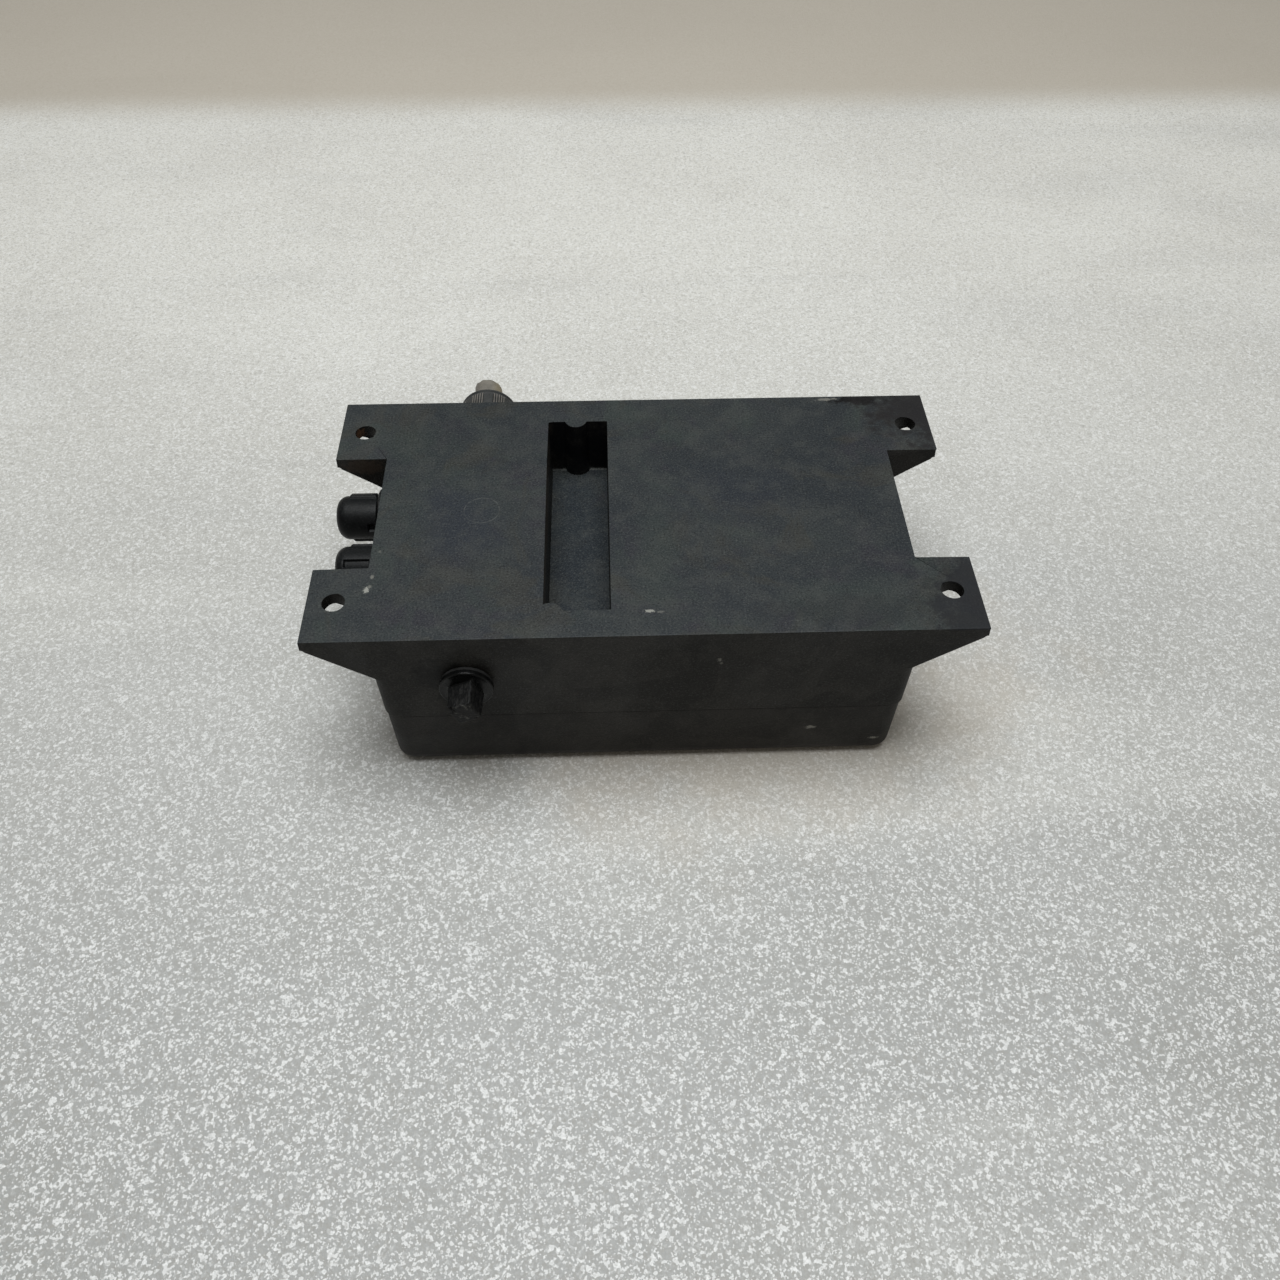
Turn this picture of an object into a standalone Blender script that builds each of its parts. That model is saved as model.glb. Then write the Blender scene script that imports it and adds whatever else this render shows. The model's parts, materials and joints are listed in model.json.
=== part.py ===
"""Brake controller unit for a trailer: a black moulded box with a mounting plate, four bolted ears,
two capped sockets, a cable gland and a square-headed blanking plug, with its electronics inside.

Metres, +Z up. The origin is the middle of the cover's flat face, which is the face it stands on
here, so the mounting plate faces up. +X runs along the plate, away from the sockets, and +Y runs
towards the cable gland.
"""

import math

import bmesh
import bpy
from mathutils import Matrix, Vector

# Driving dimensions: the mounting plate and the box under it
LENGTH = 0.196
WIDTH = 0.105
HEIGHT = 0.063
PLATE_EDGE = 0.0033
EAR_LENGTH = 0.0165
EAR_WIDTH = 0.0283
BODY_LENGTH_TOP = 0.1616
BODY_LENGTH_BOTTOM = 0.1604
WALL = 0.004
END_WALL = 0.007
PLATE_THICK = 0.0035
SPLIT_Z = 0.0267
GUSSET_DROP = 0.0177
GUSSET_FOOT_X = 0.0784
CORNER_RADIUS = 0.0045
FIT_GAP = 0.0003

# Bolt holes in the ears
HOLE_SPACING_X = 0.180
HOLE_SPACING_Y = 0.075
HOLE_RADIUS = 0.0034
SEAT_RADIUS = 0.007
SEAT_DEPTH_FROM_TOP = 0.004

# The pocket in the mounting plate
POCKET_LOW = (-0.0296, -0.0425)
POCKET_HIGH = (-0.0099, 0.0414)
POCKET_DEPTH = 0.0208
POCKET_WALL = 0.0025
POCKET_DRAFT = 0.0003

# The cover under the split line
COVER_LENGTH_TOP = 0.1600
COVER_LENGTH_BOTTOM = 0.1594
COVER_WIDTH_TOP = 0.1046
COVER_WIDTH_BOTTOM = 0.1034
COVER_RADIUS = 0.0052
COVER_FLOOR = 0.003

# The round mark that moulding leaves in the plate
GATE_MARK = (-0.0494, -0.0005)
GATE_RADIUS = 0.0054
GATE_SLOPE = 0.0003
GATE_DEPTH = 0.00006

# Screws that close the box
SCREW_X = (-0.0720, 0.002, 0.0720)
SCREW_Y = 0.0448
SCREW_BOSS_RADIUS = 0.0045
SCREW_RADIUS = 0.002
SCREW_HEAD_RADIUS = 0.0038
SCREW_HEAD_HEIGHT = 0.0026
SCREW_HEAD_DEPTH = 0.0034
SCREW_TIP_Z = 0.042

# Sockets on the left side: distance from the middle, and how far each stands out on a spacer
SOCKETS = {"1": (0.0139, 0.0025), "2": (-0.0093, 0.0)}
SOCKET_Z = HEIGHT - 0.016
SOCKET_SEAT_X = -0.0777
SOCKET_SEAT_OUT = 0.005
SOCKET_NECK_RADIUS = 0.006
SOCKET_SEAT_RADIUS = 0.0097
SOCKET_FLANGE_RADIUS = 0.0093
SOCKET_FLANGE_THICK = 0.0024
SOCKET_THREAD_RADIUS = 0.0053
SOCKET_INSIDE = 0.010
WASHER_THICK = 0.001
CAP_LENGTH = 0.0135
CAP_RADIUS = 0.0071
CAP_RIB_RADIUS = 0.0079
CAP_RIB_WIDTH = 0.0032
CAP_RIB_LENGTH = 0.0096
CAP_RIB_ROOT = 0.0063
CAP_RIB_SLOPE = 0.0008
CAP_GROOVE_WIDTH = 0.0026
CAP_GROOVE_FLOOR = 0.0062
CAP_BORE_RADIUS = 0.0056
CAP_END_WALL = 0.002
CAP_SEAL_THICK = 0.0012
CAP_STAND_OFF = 0.0006
CAP_RIB_ANGLE = {"1": math.radians(-28), "2": math.radians(-60)}
CAP_GROOVE_ANGLE = {"1": math.radians(76), "2": math.radians(30)}
CAP_GROOVE_SPAN = {"1": (0.0009, 0.0028), "2": (0.0024, 0.0101)}

# Cable gland at the back and blanking plug at the front share one axis
ENTRY_X = -0.0528
ENTRY_Z = HEIGHT - 0.0195
GLAND_NECK_RADIUS = 0.008
GLAND_HEX = 0.020
GLAND_HEX_LOW = 0.0018
GLAND_HEX_HIGH = 0.0068
GLAND_THREAD_RADIUS = 0.0082
GLAND_THREAD_END = 0.0135
GLAND_INSIDE = 0.011
GLAND_NUT_RADIUS = 0.0102
GLAND_NUT_START = 0.0072
GLAND_NUT_END = 0.0192
GLAND_NUT_GROUPS = 8
GLAND_NUT_TURN = math.radians(26.9)
GLAND_GROUP_HALF = 0.0023
GLAND_GRIP_DEPTH = 0.00045
GLAND_NUT_RIM = 0.0021
CABLE_RADIUS = 0.00495
CABLE_OUT = 0.0324
CABLE_IN = 0.014
WIRE_RADIUS = 0.0009
PLUG_FLANGE_RADIUS = 0.008
PLUG_FLANGE_FACE = 0.0031
PLUG_NECK_RADIUS = 0.0059
PLUG_WASHER_THICK = 0.0009
PLUG_INSIDE = 0.010
PLUG_SQUARE = 0.0079
PLUG_END = 0.0116
PLUG_TURN = math.radians(23)

# Circuit board
BOARD_HALF = (0.062, 0.038)
BOARD_LOW_Z = 0.008
BOARD_THICK = 0.0016
BOARD_SCREW = (0.058, 0.033)
PART_Z = BOARD_LOW_Z + BOARD_THICK + FIT_GAP
TERMINAL_X = -0.050
TERMINAL_Y = 0.0245
TERMINAL_PITCH = 0.005
TERMINAL_HEIGHT = 0.012
HEADERS = {"1": (-0.055, 0.009), "2": (-0.055, -0.009)}
HEADER_HEIGHT = 0.009

LEFT = (0.0, -math.pi / 2, 0.0)
BACK = (-math.pi / 2, 0.0, 0.0)
FRONT = (math.pi / 2, 0.0, 0.0)


def clear_scene():
    """Removes whatever the file opened with."""
    for thing in list(bpy.data.objects):
        bpy.data.objects.remove(thing, do_unlink=True)


clear_scene()
PARTS = bpy.data.collections.new("brake_controller_unit")
CUTTERS = bpy.data.collections.new("cutters")
bpy.context.scene.collection.children.link(PARTS)
bpy.context.scene.collection.children.link(CUTTERS)
CUTTERS.hide_render = True


def material(name, colour, roughness, metallic=0.0):
    """A plain Principled material."""
    made = bpy.data.materials.new(name)
    made.use_nodes = True
    shader = made.node_tree.nodes["Principled BSDF"]
    shader.inputs["Base Color"].default_value = (*colour, 1.0)
    shader.inputs["Roughness"].default_value = roughness
    shader.inputs["Metallic"].default_value = metallic
    made.diffuse_color = (*colour, 1.0)
    return made


SHELL = material("moulded shell", (0.032, 0.036, 0.038), 0.55)
COVER_PLASTIC = material("cover plastic", (0.022, 0.022, 0.021), 0.45)
FITTING = material("fitting plastic", (0.018, 0.019, 0.02), 0.38)
RUBBER = material("seal rubber", (0.02, 0.02, 0.02), 0.75)
STEEL = material("zinc plated steel", (0.62, 0.61, 0.58), 0.32, 1.0)
BRASS = material("gilt contact", (0.72, 0.56, 0.24), 0.3, 1.0)
CABLE_GREY = material("cable jacket", (0.25, 0.23, 0.21), 0.6)
BOARD_GREEN = material("board laminate", (0.02, 0.12, 0.05), 0.4)
CHIP_BLACK = material("component epoxy", (0.025, 0.025, 0.028), 0.5)
RELAY_BLUE = material("relay case", (0.03, 0.10, 0.30), 0.4)
TERMINAL_GREEN = material("terminal block", (0.05, 0.25, 0.10), 0.5)
ALUMINIUM = material("aluminium", (0.55, 0.56, 0.58), 0.4, 1.0)
SLEEVE = material("capacitor sleeve", (0.02, 0.03, 0.06), 0.35)
COPPER = material("winding copper", (0.60, 0.30, 0.16), 0.35, 1.0)
FUSE_AMBER = material("fuse body", (0.65, 0.30, 0.05), 0.3)
WIRE_COLOURS = {
    "red": material("wire red", (0.45, 0.03, 0.03), 0.5),
    "black": material("wire black", (0.02, 0.02, 0.02), 0.5),
    "blue": material("wire blue", (0.03, 0.08, 0.40), 0.5),
    "white": material("wire white", (0.70, 0.70, 0.68), 0.5),
}


def add_box(shape, low, high):
    """Adds the box between two corners to a bmesh and returns its vertices."""
    middle = (Vector(low) + Vector(high)) / 2
    size = Vector(high) - Vector(low)
    place = Matrix.Translation(middle) @ Matrix.Diagonal((*size, 1.0))
    return bmesh.ops.create_cube(shape, size=1.0, matrix=place)["verts"]


def add_turned_box(shape, low, high, angle, slope=0.0):
    """Adds a box turned about local Z to a bmesh. A slope leans the two ends of its outer side in."""
    verts = add_box(shape, low, high)
    for vert in verts:
        if vert.co.x > (low[0] + high[0]) / 2:
            vert.co.z += slope if vert.co.z < (low[2] + high[2]) / 2 else -slope
    bmesh.ops.transform(shape, matrix=Matrix.Rotation(angle, 4, "Z"), verts=verts)


def add_rod(shape, start, end, radius, sides=24, end_radius=None):
    """Adds a cylinder, or a cone, between two points to a bmesh."""
    start = Vector(start)
    along = Vector(end) - start
    turned = along.to_track_quat("Z", "Y").to_matrix().to_4x4()
    bmesh.ops.create_cone(
        shape,
        cap_ends=True,
        segments=sides,
        radius1=radius,
        radius2=radius if end_radius is None else end_radius,
        depth=along.length,
        matrix=Matrix.Translation(start + along / 2) @ turned,
    )


def upright_edges(shape):
    """Edges of a box that run between its bottom and its top."""
    return [edge for edge in shape.edges if abs(edge.verts[0].co.z - edge.verts[1].co.z) > 1e-4]


def round_edges(shape, edges, radius, segments):
    """Rounds chosen edges of a bmesh."""
    bmesh.ops.bevel(
        shape, geom=edges, offset=radius, segments=segments, profile=0.5, affect="EDGES"
    )


def tapered_block(low_half, low_z, high_half, high_z, middle=(0.0, 0.0)):
    """A bmesh block with one rectangle at the bottom and another at the top."""
    shape = bmesh.new()
    for corner in add_box(shape, (-1.0, -1.0, 0.0), (1.0, 1.0, 1.0)):
        at_top = corner.co.z > 0.5
        half = high_half if at_top else low_half
        corner.co.x = middle[0] + math.copysign(half[0], corner.co.x)
        corner.co.y = middle[1] + math.copysign(half[1], corner.co.y)
        corner.co.z = high_z if at_top else low_z
    return shape


def add_object(name, shape, look, place=(0, 0, 0), turn=(0, 0, 0), collection=None):
    """Turns a bmesh into an object of the part."""
    mesh = bpy.data.meshes.new(name)
    shape.to_mesh(mesh)
    shape.free()
    if look is not None:
        mesh.materials.append(look)
    mesh.shade_smooth()
    mesh.set_sharp_from_angle(angle=math.radians(35))
    made = bpy.data.objects.new(name, mesh)
    made.location = place
    made.rotation_euler = turn
    (collection or PARTS).objects.link(made)
    return made


def add_cutter(name, shape, place=(0, 0, 0), turn=(0, 0, 0)):
    """A helper that a Boolean reads, and that is no part of the object."""
    made = add_object(name, shape, None, place, turn, CUTTERS)
    made.hide_render = True
    made.display_type = "WIRE"
    return made


def boolean(target, other, operation):
    """Cuts other from target, or joins it on."""
    step = target.modifiers.new(f"{operation.lower()} {other.name}", "BOOLEAN")
    step.operation = operation
    step.object = other
    step.solver = "EXACT"


def cut(target, name, shape, place=(0, 0, 0), turn=(0, 0, 0)):
    boolean(target, add_cutter(name, shape, place, turn), "DIFFERENCE")


def join(target, name, shape, place=(0, 0, 0), turn=(0, 0, 0)):
    boolean(target, add_cutter(name, shape, place, turn), "UNION")


def add_turned(name, profile, look, place=(0, 0, 0), turn=(0, 0, 0), steps=24, closed=False):
    """A turned piece: (radius, height) points from the top down the outside, spun about local Z.
    A closed profile makes a ring."""
    mesh = bpy.data.meshes.new(name)
    count = len(profile)
    edges = [(i, i + 1) for i in range(count - 1)]
    if closed:
        edges.append((count - 1, 0))
    mesh.from_pydata([(radius, 0.0, height) for radius, height in profile], edges, [])
    mesh.materials.append(look)
    made = bpy.data.objects.new(name, mesh)
    made.location = place
    made.rotation_euler = turn
    PARTS.objects.link(made)
    screw = made.modifiers.new("spin", "SCREW")
    screw.steps = steps
    screw.render_steps = steps
    screw.use_merge_vertices = True
    screw.merge_threshold = 0.00001
    screw.use_smooth_shade = True
    return made


def ring_profile(inner, outer, low, high):
    """A rectangular ring section, from its top outer corner downwards."""
    return [(outer, high), (outer, low), (inner, low), (inner, high)]


def rounded_corner(radius, height, fillet, points=5):
    """Profile points of a rounded top outer corner at (radius, height)."""
    steps = [math.pi / 2 * i / (points - 1) for i in range(points)]
    centre_r = radius - fillet
    centre_h = height - fillet
    return [(centre_r + fillet * math.sin(a), centre_h + fillet * math.cos(a)) for a in steps]


# ---------------------------------------------------------------- housing


def gusset_outline(side):
    """Side view (X, Z) of the wedge under an ear on one side, with its tip's lower corner rounded."""
    tip = LENGTH / 2
    slope = (GUSSET_DROP - PLATE_EDGE) / (tip - GUSSET_FOOT_X)
    soft = 0.0012
    inner = BODY_LENGTH_TOP / 2 - CORNER_RADIUS - 0.001
    points = [
        (tip, HEIGHT - PLATE_EDGE + soft),
        (tip - 0.3 * soft, HEIGHT - PLATE_EDGE + 0.3 * soft),
        (tip - soft, HEIGHT - PLATE_EDGE - slope * soft),
        (GUSSET_FOOT_X, HEIGHT - GUSSET_DROP),
        (inner, HEIGHT - GUSSET_DROP),
        (inner, HEIGHT - 0.0005),
        (tip, HEIGHT - 0.0005),
    ]
    return [(side * x, z) for x, z in points]


def add_prism(shape, outline, y_low, y_high):
    """Adds an (X, Z) outline extruded along Y to a bmesh."""
    verts = [shape.verts.new((x, y_low, z)) for x, z in outline]
    face = shape.faces.new(verts)
    made = bmesh.ops.extrude_face_region(shape, geom=[face])["geom"]
    moved = [item for item in made if isinstance(item, bmesh.types.BMVert)]
    bmesh.ops.translate(shape, verts=moved, vec=(0.0, y_high - y_low, 0.0))
    bmesh.ops.recalc_face_normals(shape, faces=shape.faces)


def plate_block():
    """The mounting plate, before the gaps between its ears are cut."""
    plate = bmesh.new()
    low = (-LENGTH / 2, -WIDTH / 2, HEIGHT - PLATE_EDGE)
    add_box(plate, low, (LENGTH / 2, WIDTH / 2, HEIGHT))
    return plate


def ear_wedges():
    """The four wedges under the ears, as one bmesh of separate blocks."""
    wedges = bmesh.new()
    for side in (-1, 1):
        for y_low in (-WIDTH / 2, WIDTH / 2 - EAR_WIDTH):
            add_prism(wedges, gusset_outline(side), y_low, y_low + EAR_WIDTH)
    return wedges


def notches():
    """The gap between the two ears at each end of the plate."""
    gaps = bmesh.new()
    half = WIDTH / 2 - EAR_WIDTH
    inner = LENGTH / 2 - EAR_LENGTH
    outer = LENGTH / 2 + 0.002
    for low_x, high_x in ((-outer, -inner), (inner, outer)):
        add_box(gaps, (low_x, -half, HEIGHT - 0.02), (high_x, half, HEIGHT + 0.002))
    return gaps


def pocket_shape(growth=0.0, depth=POCKET_DEPTH, above=0.002):
    """The pocket as a drafted block, grown sideways for the wall around it."""
    middle = [(a + b) / 2 for a, b in zip(POCKET_LOW, POCKET_HIGH)]
    half = [(b - a) / 2 + growth for a, b in zip(POCKET_LOW, POCKET_HIGH)]
    lower = [value - POCKET_DRAFT for value in half]
    return tapered_block(lower, HEIGHT - depth, half, HEIGHT + above, middle)


def pocket_bosses():
    """Two round bosses that stand into the pocket: one in its far wall, one at its near left end."""
    bosses = bmesh.new()
    for x, y in ((-0.0204, 0.0421), (-0.0275, -0.0429)):
        bottom = (x, y, HEIGHT - POCKET_DEPTH - 0.001)
        top = (x, y, HEIGHT + 0.001)
        add_rod(bosses, bottom, top, 0.0044, 24, end_radius=0.0036)
    return bosses


def screw_places():
    return [(x, y) for x in SCREW_X for y in (-SCREW_Y, SCREW_Y)]


def posts(places, low_z, high_z, radius, sides=16):
    """Upright cylinders at the given places, as one bmesh."""
    made = bmesh.new()
    for x, y in places:
        add_rod(made, (x, y, low_z), (x, y, high_z), radius, sides)
    return made


def bolt_places():
    return [
        (x, y)
        for x in (-HOLE_SPACING_X / 2, HOLE_SPACING_X / 2)
        for y in (-HOLE_SPACING_Y / 2, HOLE_SPACING_Y / 2)
    ]


def wall_bores():
    """Bores for the two sockets, the gland and the blanking plug, with a flat seat at each socket."""
    bores = bmesh.new()
    for y, _ in SOCKETS.values():
        outside = (SOCKET_SEAT_X - SOCKET_SEAT_OUT, y, SOCKET_Z)
        inside = (SOCKET_SEAT_X + WALL + 0.002, y, SOCKET_Z)
        add_rod(bores, outside, inside, SOCKET_NECK_RADIUS + FIT_GAP)
    back = WIDTH / 2
    add_rod(
        bores,
        (ENTRY_X, back - WALL - 0.002, ENTRY_Z),
        (ENTRY_X, back + 0.002, ENTRY_Z),
        GLAND_NECK_RADIUS + FIT_GAP,
        24,
    )
    add_rod(
        bores,
        (ENTRY_X, -back - 0.002, ENTRY_Z),
        (ENTRY_X, -back + WALL + 0.002, ENTRY_Z),
        PLUG_NECK_RADIUS + FIT_GAP,
        24,
    )
    return bores


def socket_seats():
    """Round recesses with a flat floor in the drafted left wall."""
    seats = bmesh.new()
    for y, _ in SOCKETS.values():
        outside = (SOCKET_SEAT_X - SOCKET_SEAT_OUT, y, SOCKET_Z)
        add_rod(seats, outside, (SOCKET_SEAT_X, y, SOCKET_Z), SOCKET_SEAT_RADIUS)
    return seats


def housing_cavity():
    """The hollow of the housing, leaving a block of material around the pocket."""
    half = (BODY_LENGTH_BOTTOM / 2 - END_WALL, WIDTH / 2 - WALL)
    shape = tapered_block(half, SPLIT_Z - 0.002, half, HEIGHT - PLATE_THICK)
    round_edges(shape, upright_edges(shape), 0.0015, 2)
    return shape


def gate_mark():
    """A very shallow round dish with a sloped edge that the moulding leaves in the plate."""
    dish = bmesh.new()
    x, y = GATE_MARK
    bottom = (x, y, HEIGHT - GATE_DEPTH)
    top = (x, y, HEIGHT + GATE_DEPTH)
    add_rod(dish, bottom, top, GATE_RADIUS - GATE_SLOPE, 32, end_radius=GATE_RADIUS + GATE_SLOPE)
    return dish


def build_housing():
    """The upper shell: plate, ears, box, pocket, screw bosses and bores."""
    half_low = (BODY_LENGTH_BOTTOM / 2, WIDTH / 2)
    half_high = (BODY_LENGTH_TOP / 2, WIDTH / 2)
    box = tapered_block(half_low, SPLIT_Z, half_high, HEIGHT - 0.001)
    round_edges(box, upright_edges(box), CORNER_RADIUS, 5)
    housing = add_object("housing", box, SHELL)
    join(housing, "plate_block", plate_block())
    join(housing, "ear_wedges", ear_wedges())
    cut(housing, "plate_notches", notches())

    cavity = add_cutter("housing_cavity", housing_cavity())
    around = pocket_shape(POCKET_WALL, POCKET_DEPTH + POCKET_WALL)
    boolean(cavity, add_cutter("pocket_surround", around), "DIFFERENCE")
    boolean(housing, cavity, "DIFFERENCE")

    pocket = add_cutter("pocket", pocket_shape())
    boolean(pocket, add_cutter("pocket_bosses", pocket_bosses()), "DIFFERENCE")
    boolean(housing, pocket, "DIFFERENCE")

    join(housing, "screw_bosses", posts(screw_places(), SPLIT_Z, HEIGHT - 0.001, SCREW_BOSS_RADIUS))
    pilots = posts(screw_places(), SPLIT_Z - 0.001, SCREW_TIP_Z + 0.002, SCREW_RADIUS + FIT_GAP, 12)
    cut(housing, "screw_pilots", pilots)
    cut(housing, "bolt_holes", posts(bolt_places(), HEIGHT - 0.03, HEIGHT + 0.002, HOLE_RADIUS, 28))
    seats = posts(bolt_places(), HEIGHT - 0.03, HEIGHT - SEAT_DEPTH_FROM_TOP, SEAT_RADIUS, 24)
    cut(housing, "bolt_seats", seats)
    cut(housing, "wall_bores", wall_bores())
    cut(housing, "socket_seats", socket_seats())
    cut(housing, "gate_mark", gate_mark())
    return housing


# ---------------------------------------------------------------- cover and gasket

RIM_MIDDLE = (COVER_LENGTH_TOP / 2 - WALL / 2, COVER_WIDTH_TOP / 2 - WALL / 2)
GROOVE_HALF_WIDTH = 0.0009
GROOVE_DEPTH = 0.0014


def frame_block(half_width, low_z, high_z):
    """Outer and inner blocks of a rectangular frame that follows the middle of the cover's rim."""
    outer = [value + half_width for value in RIM_MIDDLE]
    inner = [value - half_width for value in RIM_MIDDLE]
    outer_block = tapered_block(outer, low_z, outer, high_z)
    inner_block = tapered_block(inner, low_z - 0.001, inner, high_z + 0.001)
    round_edges(outer_block, upright_edges(outer_block), 0.0035, 4)
    round_edges(inner_block, upright_edges(inner_block), 0.0035 - 2 * half_width, 4)
    return outer_block, inner_block


def build_cover():
    """The lower shell, a tray with rounded edges, screw columns and board posts."""
    top_z = SPLIT_Z - FIT_GAP
    half_low = (COVER_LENGTH_BOTTOM / 2, COVER_WIDTH_BOTTOM / 2)
    half_high = (COVER_LENGTH_TOP / 2, COVER_WIDTH_TOP / 2)
    tray = tapered_block(half_low, 0.0, half_high, top_z)
    edges = upright_edges(tray)
    edges += [edge for edge in tray.edges if all(abs(v.co.z) < 1e-6 for v in edge.verts)]
    round_edges(tray, edges, COVER_RADIUS, 5)
    cover = add_object("cover", tray, COVER_PLASTIC)

    inner_high = (COVER_LENGTH_TOP / 2 - WALL, COVER_WIDTH_TOP / 2 - WALL)
    inner_low = (inner_high[0] - 0.0008, inner_high[1] - 0.0006)
    hollow = tapered_block(inner_low, COVER_FLOOR, inner_high, top_z + 0.002)
    round_edges(hollow, upright_edges(hollow), 0.002, 3)
    cut(cover, "cover_hollow", hollow)

    join(cover, "cover_columns", posts(screw_places(), 0.001, top_z, SCREW_BOSS_RADIUS))
    board_places = [(sx * BOARD_SCREW[0], sy * BOARD_SCREW[1]) for sx in (-1, 1) for sy in (-1, 1)]
    join(cover, "board_posts", posts(board_places, 0.001, BOARD_LOW_Z - FIT_GAP, 0.0032, 14))
    cut(cover, "board_pilots", posts(board_places, 0.0035, BOARD_LOW_Z + 0.002, 0.0015, 10))
    cut(cover, "screw_clearance", posts(screw_places(), -0.001, top_z + 0.001, SCREW_RADIUS + FIT_GAP, 12))
    recess = SCREW_HEAD_RADIUS + 2 * FIT_GAP
    cut(cover, "screw_recess", posts(screw_places(), -0.001, SCREW_HEAD_DEPTH, recess, 20))

    outer, inner = frame_block(GROOVE_HALF_WIDTH, top_z - GROOVE_DEPTH, top_z + 0.001)
    groove = add_cutter("gasket_groove", outer)
    boolean(groove, add_cutter("gasket_groove_inside", inner), "DIFFERENCE")
    boolean(cover, groove, "DIFFERENCE")
    return cover


def build_gasket():
    """The soft ring that seals the split line."""
    low_z = SPLIT_Z - GROOVE_DEPTH
    outer, inner = frame_block(GROOVE_HALF_WIDTH - FIT_GAP, low_z, SPLIT_Z - FIT_GAP)
    gasket = add_object("gasket", outer, RUBBER)
    boolean(gasket, add_cutter("gasket_inside", inner), "DIFFERENCE")


def build_cover_screws():
    """Six pan-head screws with a hexagon recess, driven up through the cover."""
    head_z = SCREW_HEAD_DEPTH - FIT_GAP
    for number, (x, y) in enumerate(screw_places(), 1):
        bottom = head_z - SCREW_HEAD_HEIGHT
        profile = [
            (0.0, SCREW_TIP_Z),
            (SCREW_RADIUS - 0.0008, SCREW_TIP_Z),
            (SCREW_RADIUS, SCREW_TIP_Z - 0.0015),
            (SCREW_RADIUS, head_z),
            (SCREW_HEAD_RADIUS, head_z),
            (SCREW_HEAD_RADIUS, bottom + 0.0008),
            (SCREW_HEAD_RADIUS - 0.0008, bottom),
            (0.0, bottom),
        ]
        screw = add_turned(f"cover_screw_{number}", profile, STEEL, (x, y, 0.0), steps=16)
        recess = bmesh.new()
        add_rod(recess, (0, 0, bottom - 0.001), (0, 0, bottom + 0.0015), 0.0017, 6)
        cut(screw, f"cover_screw_recess_{number}", recess, (x, y, 0.0))


# ---------------------------------------------------------------- sockets and caps


def socket_flange_low(spacer):
    """Height of the flange's underside over the wall seat."""
    return 2 * FIT_GAP + WASHER_THICK + (spacer + FIT_GAP if spacer else 0.0)


def build_socket(number, y, spacer):
    """One circular socket: body, washer, spacer if it has one, lock nut and contact insert."""
    place = (SOCKET_SEAT_X, y, SOCKET_Z)
    low = socket_flange_low(spacer)
    face = low + SOCKET_FLANGE_THICK
    thread_end = face + CAP_STAND_OFF + CAP_LENGTH - CAP_END_WALL - CAP_SEAL_THICK - 2 * FIT_GAP
    bore = 0.0043
    profile = [
        (SOCKET_THREAD_RADIUS - 0.0004, thread_end),
        (SOCKET_THREAD_RADIUS, thread_end - 0.0004),
        (SOCKET_THREAD_RADIUS, face),
        (SOCKET_FLANGE_RADIUS - 0.0005, face),
        (SOCKET_FLANGE_RADIUS, face - 0.0005),
        (SOCKET_FLANGE_RADIUS, low),
        (SOCKET_NECK_RADIUS, low),
        (SOCKET_NECK_RADIUS, -SOCKET_INSIDE),
        (bore, -SOCKET_INSIDE),
        (bore, thread_end),
    ]
    add_turned(f"socket_{number}", profile, FITTING, place, LEFT, closed=True)
    neck = SOCKET_NECK_RADIUS + FIT_GAP
    washer = ring_profile(neck, 0.0088, FIT_GAP, FIT_GAP + WASHER_THICK)
    add_turned(f"socket_{number}_washer", washer, RUBBER, place, LEFT, closed=True)
    if spacer:
        spacer_low = 2 * FIT_GAP + WASHER_THICK
        section = ring_profile(neck, SOCKET_FLANGE_RADIUS, spacer_low, spacer_low + spacer)
        add_turned(f"socket_{number}_spacer", section, FITTING, place, LEFT, closed=True)

    nut = bmesh.new()
    inner_face = -WALL - FIT_GAP - 0.0006
    add_rod(nut, (0, 0, inner_face - 0.0035), (0, 0, inner_face), 0.0095, 6)
    lock_nut = add_object(f"socket_{number}_nut", nut, STEEL, place, LEFT)
    hole = bmesh.new()
    add_rod(hole, (0, 0, -0.02), (0, 0, 0.01), neck, 24)
    cut(lock_nut, f"socket_nut_bore_{number}", hole, place, LEFT)

    insert = bmesh.new()
    add_rod(insert, (0, 0, -SOCKET_INSIDE - 0.0015), (0, 0, face + 0.001), bore - FIT_GAP, 16)
    contacts = add_object(f"socket_{number}_contacts", insert, BRASS, place, LEFT)
    pins = bmesh.new()
    for step in range(4):
        angle = math.pi / 4 + step * math.pi / 2
        x_pin = 0.0023 * math.cos(angle)
        y_pin = 0.0023 * math.sin(angle)
        add_rod(pins, (x_pin, y_pin, face), (x_pin, y_pin, thread_end - 0.0015), 0.0005, 6)
    join(contacts, f"socket_pins_{number}", pins, place, LEFT)
    return face


def cap_ribs(angle, base):
    """Two opposite grip ribs with sloped ends, at an angle about the cap's axis."""
    ribs = bmesh.new()
    half = CAP_RIB_WIDTH / 2
    high = (CAP_RIB_RADIUS, half, base + CAP_RIB_LENGTH)
    for side in (0.0, math.pi):
        add_turned_box(ribs, (CAP_RIB_ROOT, -half, base), high, side - angle, CAP_RIB_SLOPE)
    return ribs


def cap_grooves(angle, low, high):
    """Two opposite recesses between the ribs, at an angle about the cap's axis."""
    grooves = bmesh.new()
    half = CAP_GROOVE_WIDTH / 2
    for side in (0.0, math.pi):
        corner = (CAP_RIB_RADIUS + FIT_GAP, half, high)
        add_turned_box(grooves, (CAP_GROOVE_FLOOR, -half, low), corner, side - angle)
    return grooves


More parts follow.
